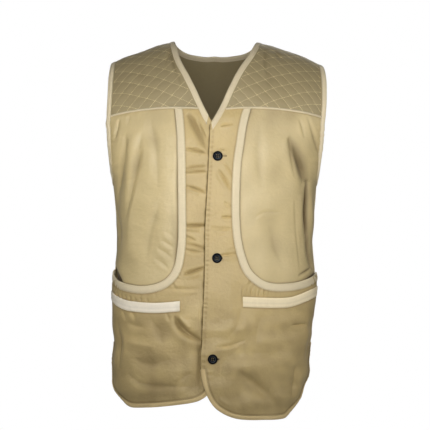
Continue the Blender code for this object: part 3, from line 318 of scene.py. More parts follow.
def torso(back):
    # (girth, height) to a point: a superellipse ring, its front and back drawn in towards the shoulder line
    def point(girth, z):
        reach, depth, edgeAngle = ringAt(girth >= 0, z, back)
        angle = np.abs(girth) * edgeAngle
        power = body["roundness"]
        radius = (np.abs(np.sin(angle) / reach) ** power + np.abs(np.cos(angle) / depth) ** power) ** (-1 / power)
        x = np.sign(girth) * radius * np.sin(angle)
        fold = largeFoldHeight(x, z, back)
        x = x * (1 + fold / radius)
        y = (radius + fold) * np.cos(angle) * ridgeShare(shoulderHeight(x) - z, back)
        return np.column_stack([x, y if back else -y, z])

    return point


shoulderWalk = {"drop": 0.26, "steps": 240}


def fallWalk(x, back):
    # down from the shoulder line in steps: depth, height and the distance walked, a row for each x
    drop = shoulderWalk["drop"] * np.linspace(0, 1, shoulderWalk["steps"])[None, :] ** 2
    x = np.ravel(x)[:, None]
    z = shoulderHeight(x) - drop
    y = depthAt(x, z, back)[0] * ridgeShare(drop, back)
    far = np.hypot(np.diff(y, axis=1), np.diff(z, axis=1)).cumsum(axis=1)
    return drop[0], np.hstack([np.zeros((len(x), 1)), far]), y, z


def readRows(wanted, keys, rows):
    # linear reading of each row at its own wanted key
    k = np.clip((keys < wanted[:, None]).sum(axis=1), 1, keys.shape[1] - 1)
    n = np.arange(len(wanted))
    t = np.clip((wanted - keys[n, k - 1]) / (keys[n, k] - keys[n, k - 1]), 0, 1)
    return rows[n, k - 1] + t * (rows[n, k] - rows[n, k - 1])


def fallOf(x, z, back=False):
    drop, far, _, _ = fallWalk(x, back)
    found = readRows(shoulderHeight(x) - z, np.broadcast_to(drop, far.shape), far)
    return -found if back else found


def shoulder(x, fall):
    # (x, fall) to a point: fall is walked down the front, or down the back where it is negative
    result = np.column_stack([x, 0 * x, 0 * x])
    for back in (False, True):
        chosen = (fall < 0) == back
        if chosen.any():
            _, far, y, z = fallWalk(x[chosen], back)
            wanted = np.abs(fall[chosen])
            result[chosen, 1] = readRows(wanted, far, y) * (1 if back else -1)
            result[chosen, 2] = readRows(wanted, far, z)
    return result


def slopesOf(surface, params, reach=0.0015):
    # steps along both coordinates by central differences, and their outward normal
    a, b = params[:, 0], params[:, 1]
    byA = (surface(a + reach, b) - surface(a - reach, b)) / (2 * reach)
    byB = (surface(a, b + reach) - surface(a, b - reach)) / (2 * reach)
    normal = np.cross(byA, byB)
    normal /= np.linalg.norm(normal, axis=1, keepdims=True)
    here = surface(a, b)
    outward = here - np.column_stack([0 * a, 0 * a, here[:, 2] - 0.06])
    return byA, byB, normal * np.sign((outward * normal).sum(axis=1, keepdims=True)), here


def insetLine(surface, edge, width, turn):
    # an edge's points moved sideways by a width, solved in the surface's own coordinates
    byA, byB, normal, here = slopesOf(surface, edge)
    inward = turn * np.cross(normal, sideways(here)) * width
    aa, bb, ab = (byA * byA).sum(1), (byB * byB).sum(1), (byA * byB).sum(1)
    wa, wb = (inward * byA).sum(1), (inward * byB).sum(1)
    scale = aa * bb - ab * ab
    return edge + np.column_stack([(wa * bb - wb * ab) / scale, (wb * aa - wa * ab) / scale])


def armholeInner(surface, edge, side, back, width):
    # an armhole edge's points moved inwards, found again by depth and height
    _, _, normal, here = slopesOf(surface, edge)
    x, y, z = (here + (side if back else -side) * np.cross(normal, sideways(here)) * width).T
    reach, depth, edgeAngle = ringAt(side > 0, z, back)
    y = np.clip(y if back else -y, 0, None) / ridgeShare(shoulderHeight(x) - z, back)
    across = reach * (1 - (y / depth) ** body["roundness"]) ** (1 / body["roundness"])
    return np.column_stack([side * np.clip(np.arctan2(across, y) / edgeAngle, 0, body["stripEnd"]), z])


def insideLoop(loop, points, most=3000):
    # a point is inside when the loop crosses its row an odd number of times to one side
    result = []
    ax, ay = loop[:, 0], loop[:, 1]
    bx, by = np.roll(ax, -1), np.roll(ay, -1)
    fall = np.where(by == ay, 1e-12, by - ay)
    for part in np.array_split(points, max(1, len(points) // most)):
        x, y = part[:, 0:1], part[:, 1:2]
        crosses = ((ay > y) != (by > y)) & (x < ax + (y - ay) * (bx - ax) / fall)
        result.append(crosses.sum(axis=1) % 2 == 1)
    return np.concatenate(result)


def neckX(side, z):
    return smoothRead(neckline["z"], neckline["centre"], z) + side * smoothRead(neckline["z"], neckline["half"], z)


def seamZ(x):
    return smoothRead(yokeSeam["x"], yokeSeam["z"], np.abs(x))


def edgeWidth(side, z):
    return smoothRead(sides["z"], sides["left" if side > 0 else "right"], z)


def settled(step, start, times):
    # a height that a reading leaves where it is, found by repeating the reading
    z = np.array([start])
    for _ in range(times):
        z = step(z)
    return z


def solveSeam(edgeX):
    # where an edge x(z) meets the yoke seam
    z = settled(lambda z: seamZ(edgeX(z)), -0.13, 30)
    return float(edgeX(z)[0]), float(z[0])


def creaseTable(*rows):
    # tenths of a millimetre: line x0 z0 x1 z1 x2 z2, half width and height; then the side of its rolled-up edge
    return np.array(rows, float) / ([10000] * 8 + [1])


def shadowTable(*rows):
    # tenths of a millimetre: line x0 z0 x1 z1 x2 z2 and half width; then how much painted shade, or painted highlight
    # below zero
    return np.array(rows, float) / ([10000] * 7 + [1])


# Painted shade along the folds, and painted highlights where a row's last value is below zero
shadows = {
    "chestLeft": shadowTable(
        (1872, -2560, 1850, -3300, 1870, -3930, 64, 1.00), (1868, -3600, 1895, -4131, 1985, -4500, 46, 0.80),
        (1500, -1850, 1700, -2320, 1840, -2760, 130, 0.74), (1770, -2600, 1760, -3300, 1810, -4100, 70, 0.30),
        (1820, -4000, 1880, -4300, 1960, -4550, 70, 0.34), (1930, -2150, 1960, -2500, 1960, -2900, 60, -0.22),
        (1960, -2800, 1945, -3400, 1960, -4000, 40, -0.16), (1640, -2900, 1640, -3500, 1700, -4400, 35, -0.08),
        (1500, -1740, 1590, -2000, 1700, -2250, 50, 0.28), (1680, -4600, 1850, -4520, 1975, -4430, 24, 0.80),
        (1730, -2600, 1740, -3300, 1760, -4100, 80, 0.12), (640, -1330, 1150, -1360, 1700, -1400, 300, 0.17),
    ),
    "chestRight": shadowTable(
        (-1440, -1700, -1600, -2400, -1760, -3250, 80, 0.15), (-1750, -1700, -1860, -2400, -1960, -3300, 70, 0.20),
        (-860, -3000, -800, -3700, -820, -4350, 70, 0.20), (-860, -1380, -1250, -1390, -1650, -1420, 300, 0.19),
        (-1990, -3400, -1960, -4000, -1940, -4600, 80, 0.16), (-1180, -3500, -1010, -4150, -930, -4550, 200, 0.15),
        (-1000, -1700, -1020, -2500, -1060, -3300, 200, -0.09),
    ),
    "frontRight": shadowTable(
        (-500, -1370, -340, -1680, -120, -2130, 60, 0.20), (-600, -3550, -400, -3570, -180, -3600, 30, 0.20),
        (-640, -4580, -410, -4477, -180, -4417, 30, 0.25), (-320, -5853, -300, -6311, -330, -6950, 65, 0.28),
        (-1600, -5520, -1250, -5440, -850, -5520, 150, 0.20), (-1900, -5700, -1500, -5950, -1050, -5850, 150, -0.12),
        (-1500, -6350, -1050, -6280, -650, -6350, 160, 0.16), (-1800, -6750, -1200, -6600, -550, -6650, 120, -0.10),
        (-1750, -7050, -1200, -7000, -600, -6950, 160, 0.16), (-800, -5400, -600, -5690, -180, -5940, 60, 0.30),
        (-700, -5330, -560, -5450, -420, -5620, 70, -0.20),
    ),
    "frontLeft": shadowTable(
        (60, -2050, 90, -2120, 130, -2180, 30, 0.10), (1780, -4980, 1860, -4960, 1990, -4900, 16, 0.40),
        (540, -4800, 535, -4950, 540, -5220, 12, 0.28), (450, -6480, 850, -6800, 1300, -7250, 240, 0.17),
        (150, -6800, 600, -7150, 1200, -7250, 200, 0.17), (1750, -6300, 1700, -6700, 1550, -7200, 200, -0.14),
        (500, -5300, 950, -5450, 1500, -5350, 200, -0.16), (1450, -5650, 1650, -6000, 1750, -6300, 160, 0.14),
        (400, -6050, 900, -6000, 1300, -6150, 200, -0.08),
    ),
    "yokeRight": shadowTable(
        (-930, 30, -870, -213, -785, -480, 60, 0.30), (-1045, 10, -1066, -193, -1106, -396, 60, -0.08),
        (-1490, -396, -1472, -558, -1510, -720, 110, 0.11),
    ),
    "yokeLeft": shadowTable(
        (1025, -10, 1035, -213, 1020, -420, 64, 0.22), (1262, 10, 1280, -80, 1310, -190, 68, 0.20),
        (1060, -480, 1110, -660, 1130, -820, 80, 0.12),
    ),
}


lineForm = {"thinning": 0.7, "dark": (0.25, 0.75), "wide": (0.5, 0.5)}  # at a painted line's ends, and added between


def shadowOf(here, rows):
    # soft painted lines, narrower and fainter at both ends: of the painted shade the darkest counts, and painted
    # highlights add up
    total = np.zeros(len(here))
    for x0, z0, x1, z1, x2, z2, width, dark in rows:
        gap, along, _ = nearestOn(smoothLine([(x0, z0), (x1, z1), (x2, z2)], 4), here)
        fade = np.sin(np.pi * along) ** lineForm["thinning"]
        tint, wide = (least + more * fade for least, more in (lineForm["dark"], lineForm["wide"]))
        tint = dark * tint * bell(gap, width * wide)
        total = np.where(dark > 0, np.maximum(total, tint), total + tint)
    return total


def shaded(value, here, rows):
    # the painted lines laid over what is there: light ones add, dark ones take over where they are darker
    painted = shadowOf(here, rows)
    return np.where(painted < 0, value + painted, np.maximum(value, painted))


creases = {
    "chestRight": creaseTable(
        (-1770, -1822, -1813, -2266, -1920, -2831, 40, -16, 1),
        (-1458, -1993, -1582, -2493, -1813, -3522, 50, -15, -1),
        (-1909, -1430, -1964, -1650, -2008, -1851, 35, -16, 1), (-1686, -1321, -1717, -1461, -1749, -1621, 45, -7, 1),
        (-1080, -3880, -960, -3940, -790, -4060, 44, -6, 1), (-1150, -4040, -1000, -4120, -830, -4270, 46, -8, 1),
        (-1210, -4240, -1060, -4330, -900, -4480, 46, -7, 1), (-1000, -3700, -900, -3760, -770, -3860, 42, -5, 1),
        (-1458, -1700, -1610, -2400, -1790, -3300, 100, -20, 1),
        (-1780, -1700, -1890, -2400, -1985, -3300, 70, -20, 1),
        (-1294, -1434, -1172, -2078, -1131, -2879, 120, -12, 1),
        (-1091, -3080, -1294, -3781, -1376, -4324, 130, -14, -1),
        (-2008, -3176, -1942, -3583, -1920, -4091, 50, -16, 1),
    ),
    "frontRight": creaseTable(
        (-1960, -4950, -1944, -5020, -1950, -5090, 22, -8, 1), (-1880, -4972, -1864, -5040, -1870, -5104, 22, -10, 1),
        (-1800, -4994, -1784, -5060, -1790, -5118, 22, -8, 1), (-1700, -5016, -1684, -5080, -1690, -5132, 22, -10, 1),
        (-1590, -5038, -1574, -5100, -1580, -5146, 22, -8, 1), (-1480, -5038, -1464, -5100, -1470, -5146, 22, -10, 1),
        (-1350, -5038, -1334, -5100, -1340, -5146, 22, -8, 1), (-1850, -5330, -1800, -5400, -1780, -5510, 44, -8, 1),
        (-1660, -5330, -1610, -5410, -1590, -5525, 44, -8, 1), (-960, -5330, -910, -5440, -890, -5525, 44, -8, 1),
        (-550, -1340, -340, -1680, -120, -2130, 78, -34, -1), (-590, -2040, -329, -2090, -60, -2190, 34, -19, 1),
        (-340, -1440, -200, -1774, -90, -2000, 36, -20, 1), (-600, -2450, -369, -2413, -130, -2400, 30, -13, 1),
        (-600, -2530, -329, -2503, -60, -2503, 30, -14, 1), (-600, -2790, -349, -2861, -80, -2990, 34, -17, 1),
        (-610, -3590, -349, -3590, -110, -3570, 36, -26, 1), (-600, -3790, -480, -3840, -370, -3900, 30, -14, 1),
        (-600, -3950, -369, -3998, -130, -4080, 34, -15, 1), (-600, -4070, -400, -4110, -180, -4110, 30, -12, 1),
        (-640, -4570, -409, -4500, -110, -4400, 40, -26, 1), (-1030, -4861, -649, -4857, -289, -4856, 40, -8, 1),
        (-809, -5400, -609, -5690, -180, -5940, 70, -34, 1), (-700, -5400, -600, -5520, -480, -5640, 60, 14, 1),
        (-1728, -5563, -1561, -5616, -1376, -5649, 70, -12, 1), (-1770, -5949, -1478, -5995, -1172, -6024, 90, 13, 1),
        (-1686, -6267, -1294, -6369, -869, -6278, 110, -11, -1),
        (-1728, -6593, -1417, -6776, -489, -6811, 70, -12, 1), (-309, -5853, -289, -6311, -329, -6850, 45, -18, -1),
        (-1294, -5446, -1131, -5683, -1030, -5961, 100, -10, 1),
        (-1942, -5556, -1898, -6019, -1920, -6529, 60, -15, 1), (-889, -6978, -689, -6674, -449, -6512, 70, -9, 1),
    ),
    "chestLeft": creaseTable(
        (1478, -1831, 1520, -1931, 1540, -2071, 45, -18, 1), (1582, -2111, 1728, -2430, 1791, -2793, 60, -14, -1),
        (1872, -2600, 1845, -3300, 1868, -3930, 46, -56, 1), (1858, -3740, 1895, -4131, 1990, -4500, 40, -42, 1),
        (1507, -1780, 1700, -2300, 1850, -2720, 95, -24, 1), (1500, -1800, 1540, -2220, 1610, -2640, 34, -13, -1),
        (1615, -3037, 1644, -3683, 1749, -4674, 26, -7, 1), (1707, -1441, 1770, -1620, 1813, -1821, 34, -14, 1),
        (1877, -1392, 2030, -1850, 2146, -2209, 38, -18, -1), (789, -3460, 990, -3330, 1437, -3330, 32, -8, 1),
        (1686, -4632, 1834, -4535, 1986, -4459, 32, -14, 1), (950, -1481, 869, -2081, 950, -2880, 130, -13, 1),
        (1111, -3580, 1233, -4082, 1396, -4485, 120, -12, -1), (1964, -2871, 1986, -3380, 1964, -3889, 50, 12, 1),
    ),
    "frontLeft": creaseTable(
        (585, -4830, 571, -4925, 575, -5030, 22, -8, 1), (665, -4838, 651, -4931, 655, -5034, 22, -10, 1),
        (740, -4846, 726, -4937, 730, -5038, 22, -12, 1), (830, -4854, 816, -4943, 820, -5042, 22, -8, 1),
        (905, -4862, 891, -4949, 895, -5046, 22, -10, 1), (1000, -4870, 986, -4955, 990, -5050, 22, -12, 1),
        (1090, -4878, 1076, -4961, 1080, -5054, 22, -8, 1), (70, -2463, 189, -2642, 340, -2900, 36, -17, 1),
        (111, -1603, 230, -1575, 380, -1562, 30, -14, 1), (60, -2070, 130, -2050, 210, -2075, 26, -10, 1),
        (190, -2330, 290, -2460, 360, -2620, 30, -11, 1), (180, -3110, 270, -3180, 370, -3230, 30, -9, 1),
        (130, -3420, 240, -3420, 380, -3425, 30, -14, 1), (-90, -3620, 120, -3651, 380, -3640, 30, -13, 1),
        (110, -4190, 249, -4175, 440, -4160, 30, -14, 1), (1520, -5594, 1686, -5601, 1877, -5592, 36, -16, 1),
        (-30, -6012, 269, -5992, 609, -5875, 36, -13, 1), (450, -6480, 850, -6800, 1300, -7250, 150, -22, 1),
        (1602, -6424, 1623, -6707, 1520, -7063, 60, -16, -1), (90, -7029, 189, -7109, 329, -7189, 60, 12, 1),
        (-150, -6411, -90, -6450, -10, -6430, 26, -10, 1), (-150, -6550, -90, -6570, -30, -6550, 26, -9, 1),
        (950, -5379, 829, -5777, 889, -6198, 120, -13, 1), (509, -5275, 469, -5554, 269, -5833, 60, -10, -1),
        (1964, -5415, 1942, -5922, 1855, -6361, 60, -12, 1),
    ),
    "yokeRight": creaseTable(
        (-899, -2, -930, -121, -998, -360, 36, -15, 1), (-839, -123, -779, -384, -749, -544, 32, -12, 1),
        (-689, -585, -669, -665, -661, -765, 30, -9, 1),
    ),
    "yokeLeft": creaseTable(
        (1038, -59, 1038, -339, 1063, -558, 34, -13, 1), (1253, -112, 1314, -169, 1355, -268, 50, -12, 1),
    ),
    "back": creaseTable(
        (-1900, -3000, -1500, -3300, -900, -3450, 70, -22, 1),
        (-1850, -3350, -1500, -3750, -1100, -3950, 60, -18, -1), (1880, -2960, 1500, -3220, 1040, -3300, 70, -21, -1),
        (1820, -3500, 1400, -3800, 850, -3880, 65, -18, 1), (-300, -2000, -400, -3000, -340, -3950, 90, -18, 1),
        (320, -2050, 400, -3100, 440, -4000, 90, -18, -1), (-1200, -4200, -600, -4400, 100, -4360, 65, -20, 1),
        (1200, -4250, 700, -4520, 150, -4550, 65, -19, -1), (-1500, -4700, -1050, -5000, -500, -4980, 70, -18, -1),
        (1550, -4800, 1100, -5150, 500, -5200, 65, -18, 1), (-800, -5600, -860, -6200, -780, -6900, 80, -20, 1),
        (100, -5600, 160, -6300, 120, -7000, 90, -18, -1), (980, -5550, 1000, -6200, 920, -6850, 80, -20, 1),
    ),
    "yokeBack": creaseTable(
        (-700, -200, -850, -700, -920, -1200, 60, -12, 1), (720, -180, 880, -700, 980, -1180, 60, -12, -1),
    ),
}


creaseForm = {
    # width at its ends and what the middle adds; the trough's soft and sharp parts; the ridge's height and width
    "wide": (0.55, 0.45), "soft": 0.75, "sharp": 0.45, "sharpWidth": 0.45, "ridge": 0.45, "ridgeWidth": 1.2,
    "gain": 1.5, "thinning": 0.7,
}


def creaseHeight(x, z, rows):
    # across its line a crease is a soft trough with a lower ridge beside it, and it thins out at both ends
    here = np.column_stack([x, z])
    total = np.zeros(len(x))
    for x0, z0, x1, z1, x2, z2, width, height, lean in rows:
        line = smoothLine([(x0, z0), (x1, z1), (x2, z2)], 4)
        near = np.flatnonzero(np.linalg.norm(here - (x1, z1), axis=1) < walked(line)[-1] + 6 * width)
        if not len(near):
            continue
        gap, along, side = nearestOn(line, here[near])
        fade = np.sin(np.pi * along) ** creaseForm["thinning"]
        least, more = creaseForm["wide"]
        w = width * (least + more * fade)
        s = gap * side
        trough = creaseForm["soft"] * bell(s, w) + creaseForm["sharp"] * bell(s, creaseForm["sharpWidth"] * w)
        ridge = creaseForm["ridge"] * bell(s, creaseForm["ridgeWidth"] * w, 2 * lean * w)
        held = bell(np.maximum(gap - 4 * w, 0), w)
        total[near] += creaseForm["gain"] * height * fade * (trough - ridge) * held
    return total


def softWaves(x, y, seed, shortest, longest, height, count=9):
    # a sum of seeded plane waves: slack cloth's slow rise and fall
    rng = np.random.default_rng(seed)
    turn = rng.uniform(0, 2 * math.pi, count)
    length = rng.uniform(shortest, longest, count)
    phase = rng.uniform(0, 2 * math.pi, count)
    wave = np.sin(2 * math.pi * (np.outer(x, np.cos(turn)) + np.outer(y, np.sin(turn))) / length + phase)
    return height * wave.sum(axis=1) / math.sqrt(count)


# How many gathers long their slow changes are: height and place at a seam, and the same along a strip
gatherRuns = {"swell": 5.3, "wander": 3.7, "stripSwell": 7.1, "stripWander": 4.3}


def puckers(line, here, reach, length, height, seed):
    # small gathers along a sewn edge: a wave along it that swells, fades and dies out inwards
    gap, share, _ = nearestOn(line, here)
    along = share * walked(line)[-1]
    swell = 0.6 + 0.4 * np.sin(2 * math.pi * along / (gatherRuns["swell"] * length) + seed)
    wander = 1.1 * np.sin(2 * math.pi * along / (gatherRuns["wander"] * length) + 2 * seed)
    return height * swell * np.sin(2 * math.pi * along / length + wander) * bell(gap, reach)


# Colours are linear. Each material keeps its own values, and all cloths share one weave group.
commonCloth = {
    # its first entry is the brown that painted shade mixes toward, in folds, creases and gaps
    "paintedTone": (0.075, 0.041, 0.007), "shine": 0.45, "sheen": 0.0, "twill": 0.0, "pitch": 0.0004, "crumple": 0.0,
    "bump": 0.35, "threadHeight": 0.00012, "sheenRough": 0.35,
}
sateen = {"sheen": 0.05, "twill": 1.0, "pitch": 0.0008}
tape = {"sheen": 0.10, "pitch": 0.0007}
cloths = {
    "khakiSateen": {**sateen, "colour": (0.521, 0.409, 0.198), "rough": 0.42, "shine": 0.70, "crumple": 0.0012},
    # the fronts' sateen is darker and browner than the chest's: partly its other grain, partly painted shade for the
    # lower fronts
    "khakiFront": {**sateen, "colour": (0.456, 0.340, 0.149), "rough": 0.46, "crumple": 0.0018},
    "yokeSateen": {**sateen, "colour": (0.315, 0.252, 0.130), "rough": 0.50},
    "creamTape": {**tape, "colour": (0.62, 0.525, 0.345), "rough": 0.72},
    "weltTape": {**tape, "colour": (0.80, 0.68, 0.45), "rough": 0.72},
    "whiteTape": {**tape, "colour": (0.84, 0.76, 0.61), "rough": 0.70},
    # the hem binding is the fronts' khaki made paler: painted highlight on its rolled, lit edge
    "khakiTape": {**tape, "colour": (0.64, 0.485, 0.235), "rough": 0.60},
    "quiltThread": {"colour": (0.68, 0.55, 0.30), "rough": 0.60},
    "creamThread": {"colour": (0.62, 0.52, 0.32), "rough": 0.60},
    "khakiThread": {"colour": (0.46, 0.37, 0.20), "rough": 0.60},
    "buttonThread": {"colour": (0.060, 0.055, 0.032), "rough": 0.7},
    "holeThread": {"colour": (0.16, 0.115, 0.055), "rough": 0.7},
    # near black: painted shade for the buttonholes' openings
    "slit": {"colour": (0.03, 0.022, 0.012), "rough": 0.9},
    # the button's painted tone is a pale grey: the colour of its painted highlight ring
    "buttonResin": {
        "colour": (0.002, 0.002, 0.004), "paintedTone": (0.11, 0.13, 0.13), "rough": 0.30, "shine": 0.045, "pitch": 0.002,
    },
}


weave = {  # stretches and scales of the noises for each metre of cloth, and how much each one adds to the tone
    "slub": (1500, 70, 1), "slow": 11, "mottleAndPaintedLight": 120, "crumples": ((38, 62, 1), (95, 70, 1)),
    "slowTone": 0.16, "mottleTone": 0.10, "slubTone": 0.10, "weaveTone": 0.03, "leastTone": 0.82,
    "roughMottle": 0.16, "roughFold": 0.55, "twillWay": (0.62, 0.78), "ridges": 0.5, "slubs": 1.2, "smallCrumples": 0.5,
}


def wovenGroup():
    # warp and weft ridges, or diagonal twill lines, with slubs, mottling and slow shifts of tone
    group = bpy.data.node_groups.new("wovenCloth", "ShaderNodeTree")
    inputs = {"Place": "Vector", "Colour": "Color", "Painted tone": "Color"}
    inputs.update({"Painted light": "Float", "Pitch": "Float", "Twill": "Float"})
    outputs = {"Colour": "Color", "Roughness shift": "Float", "Height": "Float", "Crumple": "Float"}
    for way, sockets in (("INPUT", inputs), ("OUTPUT", outputs)):
        for name, kind in sockets.items():
            group.interface.new_socket(name=name, in_out=way, socket_type="NodeSocket" + kind)
    nodes, links = group.nodes, group.links
    source = nodes.new("NodeGroupInput").outputs
    result = nodes.new("NodeGroupOutput").inputs

    def maths(kind, *values):
        node = nodes.new("ShaderNodeMath")
        node.operation = kind
        for k, value in enumerate(values):
            if isinstance(value, (int, float)):
                node.inputs[k].default_value = value
            else:
                links.new(value, node.inputs[k])
        return node.outputs[0]

    def times(one, other):
        return maths("MULTIPLY", one, other)

    def plus(one, other):
        return maths("ADD", one, other)

    def noise(place, scale, detail, rough=0.5):
        node = nodes.new("ShaderNodeTexNoise")
        node.inputs["Scale"].default_value = scale
        node.inputs["Detail"].default_value = detail
        node.inputs["Roughness"].default_value = rough
        links.new(place, node.inputs["Vector"])
        return node.outputs["Fac"]

    def drawnNoise(stretch, detail, rough=0.5):
        drawn = nodes.new("ShaderNodeVectorMath")
        drawn.operation = "MULTIPLY"
        drawn.inputs[1].default_value = stretch
        links.new(source["Place"], drawn.inputs[0])
        return noise(drawn.outputs[0], 1.0, detail, rough)

    split = nodes.new("ShaderNodeSeparateXYZ")
    links.new(source["Place"], split.inputs[0])
    u, v = split.outputs[0], split.outputs[1]
    turns = maths("DIVIDE", 2 * math.pi, source["Pitch"])
    plain = times(maths("SINE", times(u, turns)), maths("SINE", times(v, turns)))
    diagonal = maths("SINE", times(plus(times(u, weave["twillWay"][0]), times(v, weave["twillWay"][1])), turns))
    woven = plus(plain, times(source["Twill"], maths("SUBTRACT", diagonal, plain)))
    slub = drawnNoise(weave["slub"], 1)
    slow = noise(source["Place"], weave["slow"], 2)
    mottleAndPaintedLight = noise(source["Place"], weave["mottleAndPaintedLight"], 3, 0.6)
    tone = plus(times(slow, weave["slowTone"]), times(mottleAndPaintedLight, weave["mottleTone"]))
    tone = plus(tone, times(slub, weave["slubTone"]))
    tone = plus(plus(tone, times(woven, weave["weaveTone"])), weave["leastTone"])
    # painted light: the colour mixes toward the painted tone, browner where painted shade darkens folds and lighter
    # below zero as painted highlight, and the shaded parts lose their gloss
    paintedMix = nodes.new("ShaderNodeMix")
    paintedMix.data_type = "RGBA"
    paintedMix.clamp_factor = False
    links.new(source["Painted light"], paintedMix.inputs[0])
    links.new(source["Colour"], paintedMix.inputs[6])
    links.new(source["Painted tone"], paintedMix.inputs[7])
    tinted = nodes.new("ShaderNodeVectorMath")
    tinted.operation = "SCALE"
    links.new(paintedMix.outputs[2], tinted.inputs[0])
    links.new(tone, tinted.inputs["Scale"])
    links.new(tinted.outputs[0], result["Colour"])
    gloss = times(maths("SUBTRACT", mottleAndPaintedLight, 0.5), weave["roughMottle"])
    links.new(plus(gloss, times(source["Painted light"], weave["roughFold"])), result["Roughness shift"])
    # small crumples: sharp-edged valleys where a stretched noise crosses its middle
    valleys = [maths("SUBTRACT", drawnNoise(stretch, 2, 0.45), 0.5) for stretch in weave["crumples"]]
    large, small = (maths("ABSOLUTE", valley) for valley in valleys)
    links.new(plus(large, times(small, weave["smallCrumples"])), result["Crumple"])
    links.new(plus(times(woven, weave["ridges"]), times(slub, weave["slubs"])), result["Height"])
    return group


weaveGroup = wovenGroup()


def clothMaterial(name):
    found = bpy.data.materials.get(name)
    if found:
        return found
    look = {**commonCloth, **cloths[name]}
    material = bpy.data.materials.new(name)
    material.use_nodes = True
    nodes, links = material.node_tree.nodes, material.node_tree.links
    shader = nodes["Principled BSDF"]
    woven = nodes.new("ShaderNodeGroup")
    woven.node_tree = weaveGroup
    place = nodes.new("ShaderNodeUVMap")
    place.uv_map = "cloth"
    # the fold attribute holds painted shade, and painted highlight below zero
    fold = nodes.new("ShaderNodeAttribute")
    fold.attribute_name = "fold"
    links.new(place.outputs[0], woven.inputs["Place"])
    links.new(fold.outputs["Fac"], woven.inputs["Painted light"])
    woven.inputs["Colour"].default_value = (*look["colour"], 1)
    woven.inputs["Painted tone"].default_value = (*look["paintedTone"], 1)
    woven.inputs["Pitch"].default_value = look["pitch"]
    woven.inputs["Twill"].default_value = look["twill"]
    rough = nodes.new("ShaderNodeMath")
    rough.operation = "ADD"
    rough.inputs[0].default_value = look["rough"]
    links.new(woven.outputs["Roughness shift"], rough.inputs[1])
    bumps = []
    for height, strength, reach in (("Height", look["bump"], look["threadHeight"]), ("Crumple", 1.0, look["crumple"])):
        bump = nodes.new("ShaderNodeBump")
        bump.inputs["Strength"].default_value = strength
        bump.inputs["Distance"].default_value = reach
        links.new(woven.outputs[height], bump.inputs["Height"])
        bumps.append(bump)
    links.new(bumps[1].outputs[0], bumps[0].inputs["Normal"])
    links.new(bumps[0].outputs[0], shader.inputs["Normal"])
    links.new(woven.outputs["Colour"], shader.inputs["Base Color"])
    links.new(rough.outputs[0], shader.inputs["Roughness"])
    shader.inputs["Sheen Weight"].default_value = look["sheen"]
    shader.inputs["Sheen Roughness"].default_value = look["sheenRough"]
    shader.inputs["Specular IOR Level"].default_value = look["shine"]
    return material


def addPiece(name, points, faces, uv, look, fold=None, sharp=50):
    # a mesh whose faces point outwards: they are turned where their signed volume is negative
    volume = 0
    for corners in ([0, 1, 2], [0, 2, 3])[:faces.shape[1] - 2]:
        a, b, c = points[faces[:, corners]].transpose(1, 0, 2)
        volume += (a * np.cross(b, c)).sum()
    if volume < 0:
        faces = faces[:, ::-1]
    mesh = bpy.data.meshes.new(name)
    mesh.from_pydata(points, [], faces.tolist())
    corner = np.empty(len(mesh.loops), np.int32)
    mesh.loops.foreach_get("vertex_index", corner)
    mesh.uv_layers.new(name="cloth").data.foreach_set("uv", uv[corner].astype(np.float32).ravel())
    # the fold attribute carries painted shade, and painted highlight below zero
    shade = mesh.attributes.new("fold", "FLOAT", "POINT")
    shade.data.foreach_set("value", (np.zeros(len(points)) if fold is None else fold).astype(np.float32))
    mesh.shade_smooth()
    mesh.set_sharp_from_angle(angle=math.radians(sharp))
    mesh.materials.append(clothMaterial(look) if look in cloths else bpy.data.materials[look])
    piece = bpy.data.objects.new(name, mesh)
    bpy.context.scene.collection.objects.link(piece)
    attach(piece, "root")
    return piece


cut = {  # wall and trim sizes, in metres
    "cloth": 0.0013, "yoke": 0.0020, "gap": 0.0003, "quiltRise": 0.0016, "neckTape": 0.0104,
    "armholeTape": 0.0104, "pocketBand": 0.0143, "hemTape": 0.0085, "welt": 0.0195, "piping": 0.0021,
    "chestLift": 0.0, "yokeLift": 0.0006, "backLift": 0.0008, "frontLift": 0.0016,
    "lap": 0.0026, "neckLap": 0.0008, "hemLap": 0.0016, "mouthRight": 0.0024, "mouthLeft": 0.0018,
    "sink": 0.0024, "edgeStep": 0.021, "bandDrop": 0.0045, "fine": 5,
    "neckEnd": {1: (-0.0080, -0.1590), -1: (-0.0104, -0.1430)},
    "neckCorner": {1: (-0.0074, -0.1740), -1: (-0.0112, -0.1660)},
}
grid = {  # how far apart each panel's points are; row and clear are shares of that
    "front": 0.0023, "chest": 0.0026, "yokeFront": 0.0026, "yokeBack": 0.0028, "back": 0.0040,
    "leastStep": 0.0004, "row": 0.87, "clear": 0.5, "merge": 1e-7,
    "pocketStep": 0.0040, "placketStep": 0.0042, "neckStep": 0.8, "innerStep": 0.006, "aboveVent": 0.006,
}
quilt = {
    "spacing": 0.0215, "angle": math.radians(36.5), "slope": math.radians(20),
    "roundness": 0.62, "rise": 0.6, "edge": (0.003, 0.012), "step": 0.0012, "clear": 0.0012, "fewest": 6,
}
tags = {1: "left", -1: "right"}
quilt["x"] = quilt["spacing"] / math.sin(quilt["angle"]) / 2 * math.cos(quilt["slope"])
quilt["fall"] = quilt["spacing"] / math.cos(quilt["angle"]) / 2
flat = np.array([body["flatGirth"], 1])


def closeWall(outer, inner, triangles):
    # both faces and the rim round their border
    count = len(outer)
    ends = np.concatenate([triangles[:, [0, 1]], triangles[:, [1, 2]], triangles[:, [2, 0]]])
    code = ends[:, 0] * count + ends[:, 1]
    border = ends[~np.isin(code, ends[:, 1] * count + ends[:, 0])]
    i, j = border[:, 0], border[:, 1]
    rim = np.concatenate([np.column_stack([j, i, i + count]), np.column_stack([j, i + count, j + count])])
    return np.vstack([outer, inner]), np.vstack([triangles, triangles[:, ::-1] + count, rim])


def named(piece, side):
    return piece + ("Left" if side > 0 else "Right")


